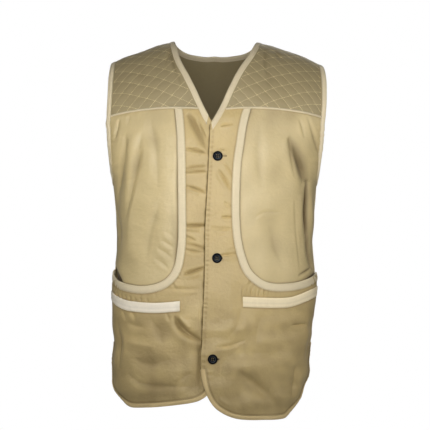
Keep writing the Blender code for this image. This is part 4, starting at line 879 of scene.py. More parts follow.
def sideEdge(side, z):
    # an edge that runs down the side seam
    return np.column_stack([np.full(len(z), side * body["seamGirth"]), z])


def levelEdge(start, end, height, count=42):
    # an edge at one height, without its two ends
    x = np.linspace(start, end, count)[1:-1]
    return np.column_stack([x, np.full(len(x), height)])


class Cloth:
    # a panel: its surface, the lift of its inner face over it, and its wall's thickness
    def __init__(self, surface, lift, thickness, scale=flat):
        self.surface, self.lift, self.thickness, self.scale = surface, lift, thickness, np.array(scale, float)

    def at(self, params, top=1.0, height=0.0):
        # a point on the panel: top is 1 on its outer face and 0 on its inner one
        _, _, normal, here = slopesOf(self.surface, params)
        lift = self.lift(params, here) + self.thickness * top
        return here + normal * (lift + height)[:, None], normal

    def refine(self, line):
        return smoothLine(line * self.scale, cut["fine"]) / self.scale

    def wall(self, name, outline, spacing, look, relief=None, fold=None):
        # triangles over evenly staggered points inside the outline
        loop = np.vstack(outline) * self.scale
        apart = np.linalg.norm(loop - np.roll(loop, 1, axis=0), axis=1)
        loop = loop[apart > grid["leastStep"]]
        low, high = loop.min(axis=0), loop.max(axis=0)
        a, b = np.meshgrid(np.arange(low[0], high[0], spacing), np.arange(low[1], high[1], spacing * grid["row"]))
        a = a + spacing / 2 * (np.arange(len(a)) % 2)[:, None]
        points = np.column_stack([a.ravel(), b.ravel()])
        points = points[insideLoop(loop, points)]
        ring = np.vstack([loop, loop[:1]])
        far = np.concatenate([nearestOn(ring, part)[0] for part in np.array_split(points, 1 + len(points) // 2000)])
        coords = np.vstack([loop, points[far > grid["clear"] * spacing]])
        around = [list(range(len(loop)))]
        found = delaunay_2d_cdt([Vector(place) for place in coords.tolist()], [], around, 1, grid["merge"])
        params = np.array([tuple(v) for v in found[0]]) / self.scale
        triangles = np.array(found[2])
        _, _, normal, here = slopesOf(self.surface, params)
        lift = self.lift(params, here)
        rise = self.thickness + (relief(params) if relief else 0)
        outer = here + normal * (lift + rise)[:, None]
        points, faces = closeWall(outer, here + normal * lift[:, None], triangles)
        uv = np.vstack([params, params]) * self.scale
        # painted shade from the panel's fold function
        shade = fold(params, here) if fold else np.zeros(len(params))
        piece = addPiece(name, points, faces, uv, look, np.concatenate([shade, shade]))
        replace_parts(piece, name)
        return piece


def sideways(line):
    # the unit step along a line at each of its points
    step = np.gradient(line, axis=0)
    return step / np.linalg.norm(step, axis=1, keepdims=True)


underTrim = {"reach": 0.3, "height": 0.0003}


def profileRows(cloth, edge, inner, profile):
    # each profile point: share from inner line to edge, reach beyond the edge, height, and face (1 top, 0 under)
    top, normal = cloth.at(edge)
    away = top - cloth.at(inner)[0]
    away -= (away * normal).sum(1, keepdims=True) * normal
    away /= np.linalg.norm(away, axis=1, keepdims=True)
    rows = []
    underside = [
        (share, underTrim["reach"] * beyond, underTrim["height"] * (face != 0.5), face)
        for share, beyond, _, face in profile[::-1]
    ]
    for share, beyond, height, face in profile + underside:
        here, _ = cloth.at(inner + (edge - inner) * share, face, height if face >= 0.5 else -height)
        rows.append(here + away * beyond)
    return np.stack(rows, axis=1)


def settle(sections, passes, closed):
    # each section moves a quarter of the way to both of its neighbours
    for _ in range(passes):
        before, after = np.roll(sections, 1, axis=0), np.roll(sections, -1, axis=0)
        eased = 0.25 * before + 0.5 * sections + 0.25 * after
        if not closed:
            eased[0], eased[-1] = sections[0], sections[-1]
        sections = eased
    return sections


def ripple(sections, columns, length, height, seed):
    # small gathers across a strip: its outer points rise and fall along it, by more here and less there
    along = walked(sections[:, 4])
    out = sections[:, 4] - sections[:, -5]
    out /= np.linalg.norm(out, axis=1, keepdims=True)
    wander = 1.7 * np.sin(2 * math.pi * along / (gatherRuns["stripWander"] * length) + seed)
    wave = np.sin(2 * math.pi * along / length + wander)
    swell = 0.55 + 0.45 * np.sin(2 * math.pi * along / (gatherRuns["stripSwell"] * length) + 2 * seed)
    moved = sections.copy()
    moved[:, columns] += (height * wave * swell)[:, None, None] * out[:, None]
    return moved


def carry(name, sections, look, closed=False, sharp=65, groove=()):
    # the profile's points joined from section to section, with a fan over each open end
    rows, count = sections.shape[:2]
    k = np.arange(count)
    r = np.arange(rows if closed else rows - 1)[:, None]
    here, there = r * count, (r + 1) % rows * count
    quads = np.stack([here + k, here + (k + 1) % count, there + (k + 1) % count, there + k], axis=-1).reshape(-1, 4)
    points = sections.reshape(-1, 3)
    middle = sections.mean(axis=1)
    along = walked(middle)
    around = np.concatenate([[0], np.linalg.norm(np.diff(sections[rows // 2], axis=0), axis=1).cumsum()])
    uv = np.stack(np.broadcast_arrays(along[:, None], around[None, :]), axis=-1).reshape(-1, 2)
    # painted shade on chosen profile points, and painted highlight below zero
    fold = np.zeros((rows, count))
    for column, dark in groove:
        fold[:, column] = dark
    if not closed:
        last = (rows - 1) * count
        m = np.arange(count // 2 - 1)
        ends = np.column_stack([m, count - 1 - m, count - 2 - m, m + 1])
        quads = np.vstack([quads, ends, last + ends[:, ::-1]])
    return addPiece(name, points, quads, uv, look, fold.ravel(), sharp)


def meetSeam(surface, edge, width, seam, direction):
    # where a line a width from an edge's end meets the seam
    points = surface(edge[-2:, 0], edge[-2:, 1])
    tangent = (points[1] - points[0]) / np.linalg.norm(points[1] - points[0])
    here = surface(edge[-1:, 0], edge[-1:, 1])[0]
    x = here[0] + direction * np.linspace(0, 3 * width, 60)
    params = seam(x)
    away = surface(params[:, 0], params[:, 1]) - here
    distance = np.linalg.norm(away - np.outer(away @ tangent, tangent), axis=1)
    return seam(np.array([np.interp(width, distance, x)]))[0]


def seamGirths(x):
    return girths(np.column_stack([x, seamZ(x) - cut["gap"] / 2]))


def seamFalls(x):
    return np.column_stack([x, fallOf(x, seamZ(x) + cut["gap"] / 2)])


def pocketLine(side):
    line = listed(pocketEdge[side]) * (side, 1)
    line[0, 1] = seamZ(pocketEdge[side]["x"][:1])[0] - cut["bandDrop"]
    line = evenLine(line, grid["pocketStep"])
    edge = girths(line)
    edge[-1, 0] = side * body["seamGirth"]
    return line, edge


def pocketBandInner(side, line):
    # the band's sewn side, a width away from its edge as seen from the front
    way = sideways(line)
    inner = line + side * cut["pocketBand"] * np.column_stack([-way[:, 1], way[:, 0]]) * -1
    inner[0, 1] = seamZ(inner[:1, 0])[0] - cut["bandDrop"]
    inner = girths(inner)
    inner[-1, 0] = side * body["seamGirth"]
    return inner


def hemLine(level, corner, side, back=False):
    rows = np.vstack([girths(listed(level), back), listed(corner) * (side, 1)])
    return evenGirths(rows, cut["edgeStep"])


def armholeHeights(top):
    # closer together towards the armhole's bottom, where it turns
    t = np.sin(np.linspace(0, 1, 8) * math.pi / 2)
    return top + (body["armholeBottom"] - top) * t


def heldAtSeam(here, z0, reach=0.016):
    # creases die out towards the seam that holds the cloth
    return 0.15 + 0.85 * smoothStep(np.abs(here[:, 2] - z0), 0.0, reach)


torsoFront, torsoBack = torso(False), torso(True)


frontCloth = {
    # slack waves: shortest, longest and height, over the whole front and more below the pocket's mouth
    "waves": (0.05, 0.13, 0.0009), "lowWaves": (0.06, 0.15, 0.0020), "lowFrom": (0.515, 0.575), "creaseShare": 1.3,
    # gathers: how far they reach, their length, height and seed, on the placket, the pocket's edge and its upright part
    "placket": (0.008, 0.0092, 0.0009, 3), "pocket": (0.022, 0.0088, 0.0009, 5), "upright": (0.010, 0.0180, 0.0004, 6),
    # the mouth's outer part stands off the chest, around this height
    "mouthHeight": -0.470, "mouthReach": 0.030, "mouthFrom": (0.120, 0.185),
    # depths at which the neck's share of the lap ends and the hem's begins, and where the lap itself begins
    "neckLap": (0.170, 0.195), "hemLap": (0.570, 0.610), "lapFrom": (-0.054, -0.028), "lapBelow": (0.126, 0.146),
    # the least that creases sink over the lap, how much more beyond it, and how flat the under front lies
    "least": -0.0012, "deeper": 0.01, "deeperFrom": (0.010, 0.030), "most": 0.0002, "flatTo": -0.030,
    "flatter": (0.3, 0.7), "flatterFrom": (0.012, 0.026), "lapEnd": (-0.0112, -0.7200),
}
frontShade = {
    # painted shadow lines: middle, width and darkness, away from the lapping edge, hem binding, welt and band
    "underLap": (0.0010, 0.0019, 0.88), "lapStitches": (0.0058, 0.0016, 0.20), "lapEdge": (0.0030, 0.0016, 0.10),
    "hem": (0.0008, 0.0017, 0.34), "bandFoot": (0.0006, 0.0015, 0.30), "weltWidth": 0.0017,
    "welt": ((0.0010, 0.30), (-cut["welt"] - 0.0008, 0.36)), "lapPitch": 0.0092, "lapBase": 0.05,
    "underFrom": (0.014, 0.020),
    # painted highlight on the fronts' upper part, and painted light and dark patches on their lower part
    "topLight": 0.10, "topTo": (0.17, 0.26), "lowFrom": (0.50, 0.56),
    "mottleAndPaintedLight": (0.050, 0.110, 0.12), "smallPaintedLight": (0.022, 0.045, 0.05),
}


def lapHeight(z):
    # how far the lapping front stands off the other: less at the neck and more at the hem
    over = cut["lap"] + cut["neckLap"] * (1 - smoothStep(-z, *frontCloth["neckLap"]))
    return over + cut["hemLap"] * smoothStep(-z, *frontCloth["hemLap"])


def frontLift(side):
    rows = creases[named("front", side)]
    placketLine = listed(placket[side])
    pocketLow = listed(pocketEdge[side])[6:] * (side, 1)
    pocketIn = listed(pocketEdge[side])[:8] * (side, 1)

    def lift(params, here):
        x, z = here[:, 0], here[:, 2]
        place = here[:, [0, 2]]
        mouth = bell(z, frontCloth["mouthReach"], frontCloth["mouthHeight"])
        mouth = mouth * smoothStep(np.abs(x), *frontCloth["mouthFrom"])
        value = cut["frontLift"] + mouth * cut[named("mouth", side)]
        wander = frontCloth["creaseShare"] * creaseHeight(x, z, rows) + softWaves(x, z, 11 + side, *frontCloth["waves"])
        low = softWaves(x, 1.6 * z, 61 + side, *frontCloth["lowWaves"])
        wander += low * smoothStep(-z, *frontCloth["lowFrom"])
        if side > 0:
            wander += puckers(placketLine, place, *frontCloth["placket"])
        wander += puckers(pocketLow, place, *frontCloth["pocket"])
        wander += puckers(pocketIn, place, *frontCloth["upright"])
        if side > 0:
            # it laps over the other front and stays clear of it
            over = lapHeight(z) * smoothStep(-x, *frontCloth["lapFrom"]) * smoothStep(-z, *frontCloth["lapBelow"])
            deeper = frontCloth["deeper"] * smoothStep(x, *frontCloth["deeperFrom"])
            return value + over + np.maximum(wander, frontCloth["least"] - deeper)
        # it lies flatter towards the lap
        least, more = frontCloth["flatter"]
        wander = np.where(x > frontCloth["flatTo"], np.minimum(wander, frontCloth["most"]), wander)
        return value + wander * (least + more * smoothStep(-x, *frontCloth["flatterFrom"]))

    return lift


troughShade = {"gain": 80, "least": -0.06, "most": 0.30}


def shadeOf(lift, plain):
    # painted shade darkens the troughs a little, and painted highlight lightens the ridges a little
    def fold(params, here):
        depth = -(lift(params, here) - plain)
        return np.clip(depth * troughShade["gain"], troughShade["least"], troughShade["most"])

    return fold


def darkLine(gap, line, wider=0.0):
    middle, width, dark = line
    return dark * bell(gap, width + wider, middle)


def makeFront(side):
    cloth = Cloth(torsoFront, frontLift(side), cut["cloth"])
    topX, topZ = solveSeam(lambda z: neckX(side, z))
    neckEnd = cut["neckEnd"][side]
    neck = girths(evenLine([(topX, topZ - cut["gap"] / 2), neckEnd], cut["edgeStep"] * grid["neckStep"], False))
    edge = listed(placket[side])
    edge = np.vstack([[neckEnd], edge]) if side < 0 else edge
    edge = girths(evenLine(edge, grid["placketStep"]))
    hemEdge = hemLine(hem[side], hemCorner[side], side)
    pocketXz, pocket = pocketLine(side)
    seamX = side * pocketEdge[side]["x"][0]
    neckInner = insetLine(torsoFront, neck, cut["neckTape"], side)
    neckInner[0] = meetSeam(torsoFront, neck[1::-1], cut["neckTape"], seamGirths, side)
    neckInner[-1] = girths([cut["neckCorner"][side]])[0]
    hemInner = insetLine(torsoFront, hemEdge, cut["hemTape"], side)
    trims = {"neck": (neck, neckInner), "hem": (hemEdge, hemInner)}
    trims = {name: (cloth.refine(outer), cloth.refine(inner)) for name, (outer, inner) in trims.items()}
    trims["pocket"] = (pocket, pocketBandInner(side, pocketXz))
    outline = [
        trims["neck"][0], edge[1:-1], trims["hem"][0],
        sideEdge(side, np.linspace(body["ventTop"] + grid["aboveVent"], pocket[-1, 1], 30)[:-1]),
        trims["pocket"][0][::-1], seamGirths(np.linspace(seamX, topX, 14)[:-1]),
    ]
    lapEdge = np.vstack([[cut["neckEnd"][1]], listed(placket[1]), [frontCloth["lapEnd"]]])
    bandFoot = torsoFront(*trims["pocket"][1].T)[::3, [0, 2]]
    hemTop = torsoFront(*trims["hem"][1].T)[::3, [0, 2]]
    weltEdge = evenLine(smoothLine(listed(weltTop[side]) * (side, 1), 5), grid["innerStep"])

    def fold(params, here):
        place = here[:, [0, 2]]
        x, z = here[:, 0], here[:, 2]
        gap, share, _ = nearestOn(lapEdge, place)
        if side < 0:
            # painted shadow beneath the lapping edge, and the creases' own painted shade
            value = shadeOf(cloth.lift, cut["frontLift"])(params, here) * smoothStep(-x, *frontShade["underFrom"])
            uneven = 0.0005 * np.sin(z * 260) + 0.0004 * np.sin(z * 91 + 1)
            value = value + darkLine(gap, frontShade["underLap"], uneven)
        else:
            # painted shade in the dimples where the lapping edge is stitched
            along = share * walked(lapEdge)[-1]
            dimple = 0.5 + 0.5 * np.sin(2 * math.pi * along / frontShade["lapPitch"] + 1.2)
            middle, width, dark = frontShade["lapStitches"]
            value = (frontShade["lapBase"] + dark * dimple) * bell(gap, width, middle)
            value = value + dimple * darkLine(gap, frontShade["lapEdge"])
        value = shaded(value, place, shadows[named("front", side)])
        # painted highlight on the upper fronts, and painted light and dark patches on the lower ones
        value = value - frontShade["topLight"] * (1 - smoothStep(-z, *frontShade["topTo"]))
        mottleAndPaintedLight = softWaves(x + 0.3 * z, z, 71 + side, *frontShade["mottleAndPaintedLight"])
        mottleAndPaintedLight = mottleAndPaintedLight + softWaves(x, z, 75 + side, *frontShade["smallPaintedLight"])
        value = value + mottleAndPaintedLight * smoothStep(-z, *frontShade["lowFrom"])
        # painted shadow along the hem's binding, both edges of the welt and the sewn side of the band
        value = value + darkLine(nearestOn(hemTop, place)[0], frontShade["hem"])
        for shift, dark in frontShade["welt"]:
            value = value + dark * bell(nearestOn(weltEdge + (0, shift), place)[0], frontShade["weltWidth"])
        return value + darkLine(nearestOn(bandFoot, place)[0], frontShade["bandFoot"])

    cloth.wall(f"front_{tags[side]}", outline, grid["front"], "khakiFront", fold=fold)
    return cloth, trims


chestCloth = {
    "waves": (0.05, 0.14, 0.0007), "seamGathers": (0.007, 0.0150, 0.0003, 2), "armGathers": (0.016, 0.0130, 0.0008),
    "arm": (-0.13, -0.26, 12), "inner": 0.019, "below": 0.050, "seam": -0.127, "low": -0.25, "far": 0.36,
    # how soon it has sunk inside the pocket, and creases have grown; where it rises to meet the back
    "sinkBy": 0.012, "creasedBy": 0.014, "riseFrom": (0.88, 0.955),
    # behind the mouth's outer corner the panel falls back: from and to this far out, how deep and how far from it
    "dipFrom": (0.180, 0.200), "dip": {1: (0.0035, 0.006), -1: (0.0075, 0.010)},
}
chestShade = {
    # painted shadow in the mouth's open corner: where it starts and ends, and how far it opens
    "corner": {1: (0.168, 0.186), -1: (0.184, 0.1985)}, "open": {1: 0.0022, -1: 0.0115}, "inside": 0.93,
    # painted shadow line where the band meets the panel: darkness, width, and how much wider it is half way down
    "beside": {1: (0.60, 0.0002), -1: (0.72, 0.0018)}, "width": 0.0024, "middle": 0.0010,
    # painted shade: one chest a little darker and the other a little lighter, slow painted light and dark patches, and
    # the crease troughs darkened
    "tone": {1: 0.07, -1: -0.02}, "waves": (0.035, 0.100, 0.05), "crease": 75, "least": -0.06, "most": 0.45,
    "edge": (-0.0012, 0.0008), "widerFrom": (0.19, 0.25), "widerTo": (0.40, 0.45),
}


def makeChest(side):
    pocket = listed(pocketEdge[side]) * (side, 1)
    mouthXz, mouth = pocketLine(side)
    mouth = mouth * flat
    far = side * chestCloth["far"]
    shown = np.vstack([mouth, [(far, mouth[-1, 1]), (far, 0.0), (mouth[0, 0], 0.0)]])
    rows = creases[named("chest", side)]
    seamLine = np.column_stack([side * yokeSeam["x"], yokeSeam["z"]])
    armZ = np.linspace(*chestCloth["arm"])
    armLine = np.column_stack([side * edgeWidth(side, armZ), armZ])

    def creased(here):
        x, z = here[:, 0], here[:, 2]
        value = creaseHeight(x, z, rows) + softWaves(x, z, 21 + side, *chestCloth["waves"])
        value = value * heldAtSeam(here, chestCloth["seam"])
        value += puckers(seamLine, here[:, [0, 2]], *chestCloth["seamGathers"])
        return value + puckers(armLine, here[:, [0, 2]], *chestCloth["armGathers"], 4 + side)

    def mouthDip(here):
        depth, reach = chestCloth["dip"][side]
        gap = nearestOn(mouthXz, here[:, [0, 2]])[0]
        return depth * smoothStep(np.abs(here[:, 0]), *chestCloth["dipFrom"]) * bell(gap, reach)

    def lift(params, here):
        # lower inside the pocket, without creases there and at its mouth, and higher at the side seam
        place = params * flat
        under = ~insideLoop(shown, place)
        gap, _, _ = nearestOn(mouth, place)
        sunk = cut["sink"] * under * smoothStep(gap, 0.0, chestCloth["sinkBy"]) + mouthDip(here)
        rise = (cut["backLift"] - cut["chestLift"]) * smoothStep(np.abs(params[:, 0]), *chestCloth["riseFrom"])
        wander = creased(here) * np.where(under, 0.0, smoothStep(gap, 0.0, chestCloth["creasedBy"]))
        return cut["chestLift"] + rise - sunk + wander

    def fold(params, here):
        # painted shadow inside the mouth's open corner, painted shade in the crease troughs, and a soft painted shadow
        # line where the band meets the panel
        place = here[:, [0, 2]]
        z = here[:, 2]
        gap = nearestOn(mouthXz, place)[0]
        corner = smoothStep(np.abs(here[:, 0]), *chestShade["corner"][side])
        inside = smoothStep(chestShade["open"][side] * corner - gap, *chestShade["edge"]) * (corner > 0.02)
        value = np.clip(-creased(here) * chestShade["crease"], chestShade["least"], chestShade["most"])
        value = shaded(value, place, shadows[named("chest", side)]) + chestShade["tone"][side]
        value = value + softWaves(here[:, 0], z, 81 + side, *chestShade["waves"])
        beside, wider = chestShade["beside"][side]
        wider = wider * smoothStep(-z, *chestShade["widerFrom"]) * (1 - smoothStep(-z, *chestShade["widerTo"]))
        width = chestShade["width"] + wider
        value = value + beside * bell(gap, width, chestShade["middle"])
        return np.maximum(value, chestShade["inside"] * inside)

    cloth = Cloth(torsoFront, lift, cut["cloth"])
    bottom = pocket[:, 1].min() - chestCloth["below"]
    innerX, innerLowX = (pocket[k, 0] - side * chestCloth["inner"] for k in (0, 5))
    _, outerZ = solveSeam(lambda z: side * edgeWidth(side, z))
    armhole = sideEdge(side, armholeHeights(outerZ - cut["gap"] / 2))
    inner = armholeInner(torsoFront, armhole, side, False, cut["armholeTape"])
    inner[0] = meetSeam(torsoFront, armhole[1::-1], cut["armholeTape"], seamGirths, -side)
    trim = (cloth.refine(armhole), cloth.refine(inner))
    top = seamGirths(np.linspace(innerX, torsoFront(*armhole[:1].T)[0, 0], 46)[:-1])
    innerTop = float(seamZ(np.array([innerX]))[0]) - cut["gap"] / 2
    innerLine = girths([(innerLowX, bottom), (innerLowX, chestCloth["low"]), (innerX, innerTop)])
    innerLine = evenGirths(innerLine, grid["innerStep"])
    outline = [
        top, trim[0], sideEdge(side, np.linspace(body["armholeBottom"], bottom, 60)[1:]),
        levelEdge(side * body["seamGirth"], innerLine[0, 0], bottom), innerLine[:-1],
    ]
    cloth.wall(f"chest_{tags[side]}", outline, grid["chest"], "khakiSateen", fold=fold)
    return cloth, trim


def quiltRelief(edges):
    # each lozenge swells between its stitch lines, with narrow valleys, and lies flat under the trims
    def relief(params):
        across, down = params[:, 0] / quilt["x"], params[:, 1] / quilt["fall"]
        swell = np.abs(np.sin(np.pi * (across + down) / 2) * np.sin(np.pi * (across - down) / 2)) ** quilt["roundness"]
        quiet = np.ones(len(params))
        for line in edges:
            quiet = quiet * smoothStep(nearestOn(line, params)[0], *quilt["edge"])
        return quilt["rise"] * cut["quiltRise"] * swell * quiet

    return relief


slack = {"yoke": (0.06, 0.12, 0.0004), "back": (0.06, 0.16, 0.0009), "quietEdge": 0.05}  # waves: lengths and height


def yokeLift(rows, seed):
    def lift(params, here):
        waves = softWaves(params[:, 0], params[:, 1], seed, *slack["yoke"])
        return cut["yokeLift"] + creaseHeight(here[:, 0], here[:, 2], rows) + waves

    return lift


def backNeck(side, fall):
    # the back of the neckline, a quarter ellipse down from where it crosses the shoulder line
    z = settled(lambda z: shoulderHeight(neckX(side, z)), 0.018, 20)
    return np.column_stack([neckX(side, z)[0] * np.sqrt(1 - (fall / body["neckBackDrop"]) ** 2), fall]), float(z[0])


def makeYokeFront(side):
    cloth = Cloth(shoulder, yokeLift(creases[named("yoke", side)], 31 + side), cut["yoke"], (1, 1))
    backFall = body["shoulderSeam"] + cut["gap"] / 2
    endZ = settled(lambda z: shoulderHeight(edgeWidth(side, z)), -0.025, 20)
    _, lowZ = solveSeam(lambda z: side * edgeWidth(side, z))
    endX = side * edgeWidth(side, endZ)[0]
    z = np.linspace(endZ[0], lowZ + cut["gap"] / 2, 7)[1:]
    x = side * edgeWidth(side, z)
    armhole = np.vstack([[(endX, backFall), (endX, 0)], np.column_stack([x, fallOf(x, z)])])
    _, neckLow = solveSeam(lambda z: neckX(side, z))
    behind, topZ = backNeck(side, np.array([backFall]))
    z = np.linspace(neckLow + cut["gap"] / 2, topZ, 9)[:-1]
    x = neckX(side, z)
    neck = np.vstack([np.column_stack([x, fallOf(x, z)]), [(neckX(side, np.array([topZ]))[0], 0)], behind])
    armInner = insetLine(shoulder, armhole, cut["armholeTape"], -side)
    armInner[0, 1] = backFall
    armInner[-1] = meetSeam(shoulder, armhole, cut["armholeTape"], seamFalls, -side)
    neckInner = insetLine(shoulder, neck, cut["neckTape"], -side)
    neckInner[0] = meetSeam(shoulder, neck[1::-1], cut["neckTape"], seamFalls, side)
    neckInner[-1, 1] = backFall
    arm = (cloth.refine(armhole), cloth.refine(armInner))
    neckTrim = (cloth.refine(neck), cloth.refine(neckInner))
    seam = seamFalls(np.linspace(armhole[-1, 0], neck[0, 0], 50)[1:-1])
    relief = quiltRelief([arm[1], neckTrim[1], seam])

    def fold(params, here):
        # painted shade of the soft folds that fall from the neck
        return shadowOf(here[:, [0, 2]], shadows[named("yoke", side)])

    outline = [arm[0], seam, neckTrim[0], levelEdge(neck[-1, 0], endX, backFall)]
    cloth.wall(f"yoke_front_{tags[side]}", outline, grid["yokeFront"], "yokeSateen", relief, fold)
    return cloth, arm, neckTrim, np.vstack(outline), relief


def makeYokeBack():
    cloth = Cloth(shoulder, yokeLift(creases["yokeBack"], 41), cut["yoke"], (1, 1))
    topFall = body["shoulderSeam"] - cut["gap"] / 2
    low = body["backSeam"] + cut["gap"] / 2
    arms = {}
    for side in (1, -1):
        startZ = shoulder(np.array([side * 0.215]), np.array([topFall]))[0, 2]
        z = np.linspace(startZ, low, 8)
        x = side * edgeWidth(side, z)
        edge = np.column_stack([x, fallOf(x, z, True)])
        edge[0, 1] = topFall
        inner = insetLine(shoulder, edge, cut["armholeTape"], side)
        inner[0, 1] = topFall
        inner[-1, 1] = fallOf(inner[-1:, 0], np.array([low]), True)[0]
        arms[side] = (cloth.refine(edge), cloth.refine(inner))
    falls = np.linspace(topFall, -0.97 * body["neckBackDrop"], 6)
    neck = np.vstack([backNeck(-1, falls)[0], [(0, -body["neckBackDrop"])], backNeck(1, falls)[0][::-1]])
    neckInner = insetLine(shoulder, neck, cut["neckTape"], 1)
    neckInner[[0, -1], 1] = topFall
    neckTrim = (cloth.refine(neck), cloth.refine(neckInner))
    seam = levelEdge(arms[1][0][-1, 0], arms[-1][0][-1, 0], low, 120)
    seam[:, 1] = fallOf(*seam.T, True)
    outline = [
        arms[1][0], seam, arms[-1][0][::-1], levelEdge(arms[-1][0][0, 0], neck[0, 0], topFall),
        neckTrim[0], levelEdge(neck[-1, 0], arms[1][0][0, 0], topFall),
    ]
    relief = quiltRelief([arms[1][1], arms[-1][1], neckTrim[1], seam])
    cloth.wall("yoke_back", outline, grid["yokeBack"], "yokeSateen", relief)
    return cloth, arms, neckTrim, np.vstack(outline), relief


def makeBack():
    def lift(params, here):
        x, z = here[:, 0], here[:, 2]
        wander = creaseHeight(x, z, creases["back"]) + softWaves(x, z, 51, *slack["back"])
        wander = wander * heldAtSeam(here, body["backSeam"])
        return cut["backLift"] + wander * smoothStep(1 - np.abs(params[:, 0]), 0.0, slack["quietEdge"])

    cloth = Cloth(torsoBack, lift, cut["cloth"])
    top = body["backSeam"] - cut["gap"] / 2
    half = hemLine(backHem, backCorner, 1, True)
    arms = {}
    for side in (1, -1):
        edge = sideEdge(side, armholeHeights(top))
        inner = armholeInner(torsoBack, edge, side, True, cut["armholeTape"])
        inner[0, 1] = top
        arms[side] = (cloth.refine(edge), cloth.refine(inner))
    hemEdge = np.vstack([half[::-1], (half * (-1, 1))[1:]])
    hemTrim = (cloth.refine(hemEdge), cloth.refine(insetLine(torsoBack, hemEdge, cut["hemTape"], 1)))
    sideZ = np.linspace(body["armholeBottom"], body["ventTop"] + grid["aboveVent"], 90)[1:]
    outline = [
        levelEdge(-body["seamGirth"], body["seamGirth"], top, 120), arms[1][0], sideEdge(1, sideZ),
        hemTrim[0], sideEdge(-1, sideZ)[::-1], arms[-1][0][::-1],
    ]
    # painted shade in the back's crease troughs, and painted highlight on its ridges
    cloth.wall("back", outline, grid["back"], "khakiSateen", fold=shadeOf(lift, cut["backLift"]))
    return cloth, arms, hemTrim


# Trims: each is a closed profile carried along an edge
tapeProfile = [
    (0, 0, 0.0011, 1), (0.05, 0, 0.00125, 1), (0.10, 0, 0.00085, 1), (0.17, 0, 0.00135, 1), (0.4, 0, 0.00175, 1),
    (0.7, 0, 0.0018, 1), (0.93, 0.0002, 0.0015, 1), (1, 0.0010, 0.0010, 1), (1, 0.0016, 0, 0.5),
    (1, 0.0009, 0.0010, 0), (0.88, 0, 0.0013, 0), (0.5, 0, 0.0013, 0), (0.1, 0, 0.0010, 0),
]
bandProfile = [
    (0, 0, 0.0011, 1), (0.04, 0, 0.00125, 1), (0.08, 0, 0.00085, 1), (0.14, 0, 0.00135, 1), (0.35, 0, 0.0018, 1),
    (0.65, 0, 0.0019, 1), (0.92, 0.0002, 0.0015, 1), (1, 0.0010, 0.0010, 1), (1, 0.0014, 0, 0.6), (1, 0.0011, 0, 0.1),
]
hemProfile = [
    (0, 0, 0.0008, 1), (0.05, 0, 0.0011, 1), (0.13, 0, 0.0006, 1), (0.26, 0, 0.0013, 1), (0.55, 0, 0.0018, 1),
    (0.90, 0.0002, 0.0013, 1), (1, 0.0009, 0.0008, 1), (1, 0.0013, 0, 0.5), (1, 0.0008, 0.0007, 0),
    (0.6, 0, 0.0009, 0), (0.1, 0, 0.0008, 0),
]
weltProfile = [
    (0, 0, 0.0006, 1), (0.02, 0.0, 0.0014, 1), (0.07, 0, 0.0010, 1), (0.13, 0, 0.0015, 1), (0.28, 0, 0.0019, 1),
    (0.45, 0, 0.0013, 1), (0.62, 0, 0.0019, 1), (0.8, 0, 0.0019, 1), (0.97, 0, 0.0020, 1), (1, 0.0007, 0.0012, 1),
    (1, 0.0002, 0.0006, 1),
]


def joined(*parts):
    # sections of several strips in one run, without the pair that meets at each joint
    return np.concatenate([part[1:-1] if len(part) > 4 else part for part in parts])


def threadRun(sections):
    # the line of sewing in a strip's groove, with the way out of the cloth
    run = sections[:, 2]
    out = run - sections[:, sections.shape[1] - 3]
    return run, out / np.linalg.norm(out, axis=1, keepdims=True)


def sew(name, runs, look, length=0.0024, pitch=0.0034, width=0.00055, height=0.00028):
    # stitches as small lozenges, evenly spaced along each run and sunk at both ends
    places, ways, outs = [], [], []
    for points, normals in runs:
        far = walked(points)
        count = int(far[-1] / pitch)
        if count < 1:
            continue

        def read(rows, s):
            return np.column_stack([np.interp(s, far, rows[:, k]) for k in range(3)])

        s = (np.arange(count) + 0.5) * far[-1] / count
        way = read(points, s + 0.0005) - read(points, s - 0.0005)
        places.append(read(points, s))
        ways.append(way / np.linalg.norm(way, axis=1, keepdims=True))
        outs.append(read(normals, s))
    place, way, out = (np.vstack(part) for part in (places, ways, outs))
    out -= (out * way).sum(1, keepdims=True) * way
    out /= np.linalg.norm(out, axis=1, keepdims=True)
    across = np.cross(out, way)
    # two ends, then a ring of four at each of two stations
    shape = [(-0.5, 0, -0.3)]
    shape += [(t, a, h) for t in (-0.28, 0.28) for a, h in ((-0.5, 0), (0, 1), (0.5, 0), (0, -0.5))] + [(0.5, 0, -0.3)]
    shape = np.array(shape) * (length, width, height)
    points = place[:, None] + shape[None, :, :1] * way[:, None] + shape[None, :, 1:2] * across[:, None]
    points = (points + shape[None, :, 2:] * out[:, None]).reshape(-1, 3)
    ring = np.arange(4)
    following = (ring + 1) % 4
    faces = np.vstack([
        np.column_stack([np.zeros(4, int), 1 + following, 1 + ring]),
        np.column_stack([1 + ring, 1 + following, 5 + following]), np.column_stack([1 + ring, 5 + following, 5 + ring]),
        np.column_stack([5 + ring, 5 + following, np.full(4, 9)]),
    ])
    faces = (faces[None] + 10 * np.arange(len(place))[:, None, None]).reshape(-1, 3)
    uv = np.repeat(np.column_stack([place[:, 0], place[:, 2]]), 10, axis=0)
    return addPiece(name, points, faces, uv, look, sharp=80)


def hoops(across, up, count):
    # a ring of steps round each point of a line
    angle = np.linspace(0, 2 * math.pi, count, endpoint=False)[None, :, None]
    return np.cos(angle) * across[:, None] + np.sin(angle) * up[:, None]


piping = {"ends": 0.0008, "around": 10, "sharp": 80}


def addPiping(name, surface, params):
    # a round cord along a yoke seam, on the panel below it
    _, _, normal, here = slopesOf(surface, params)
    centre = here + normal * (cut["frontLift"] + cut["cloth"] + cut["gap"] + cut["piping"])
    ring = hoops(np.cross(sideways(centre), normal), normal, piping["around"])
    return carry(name, centre[:, None] + cut["piping"] * ring, "creamTape", sharp=piping["sharp"])


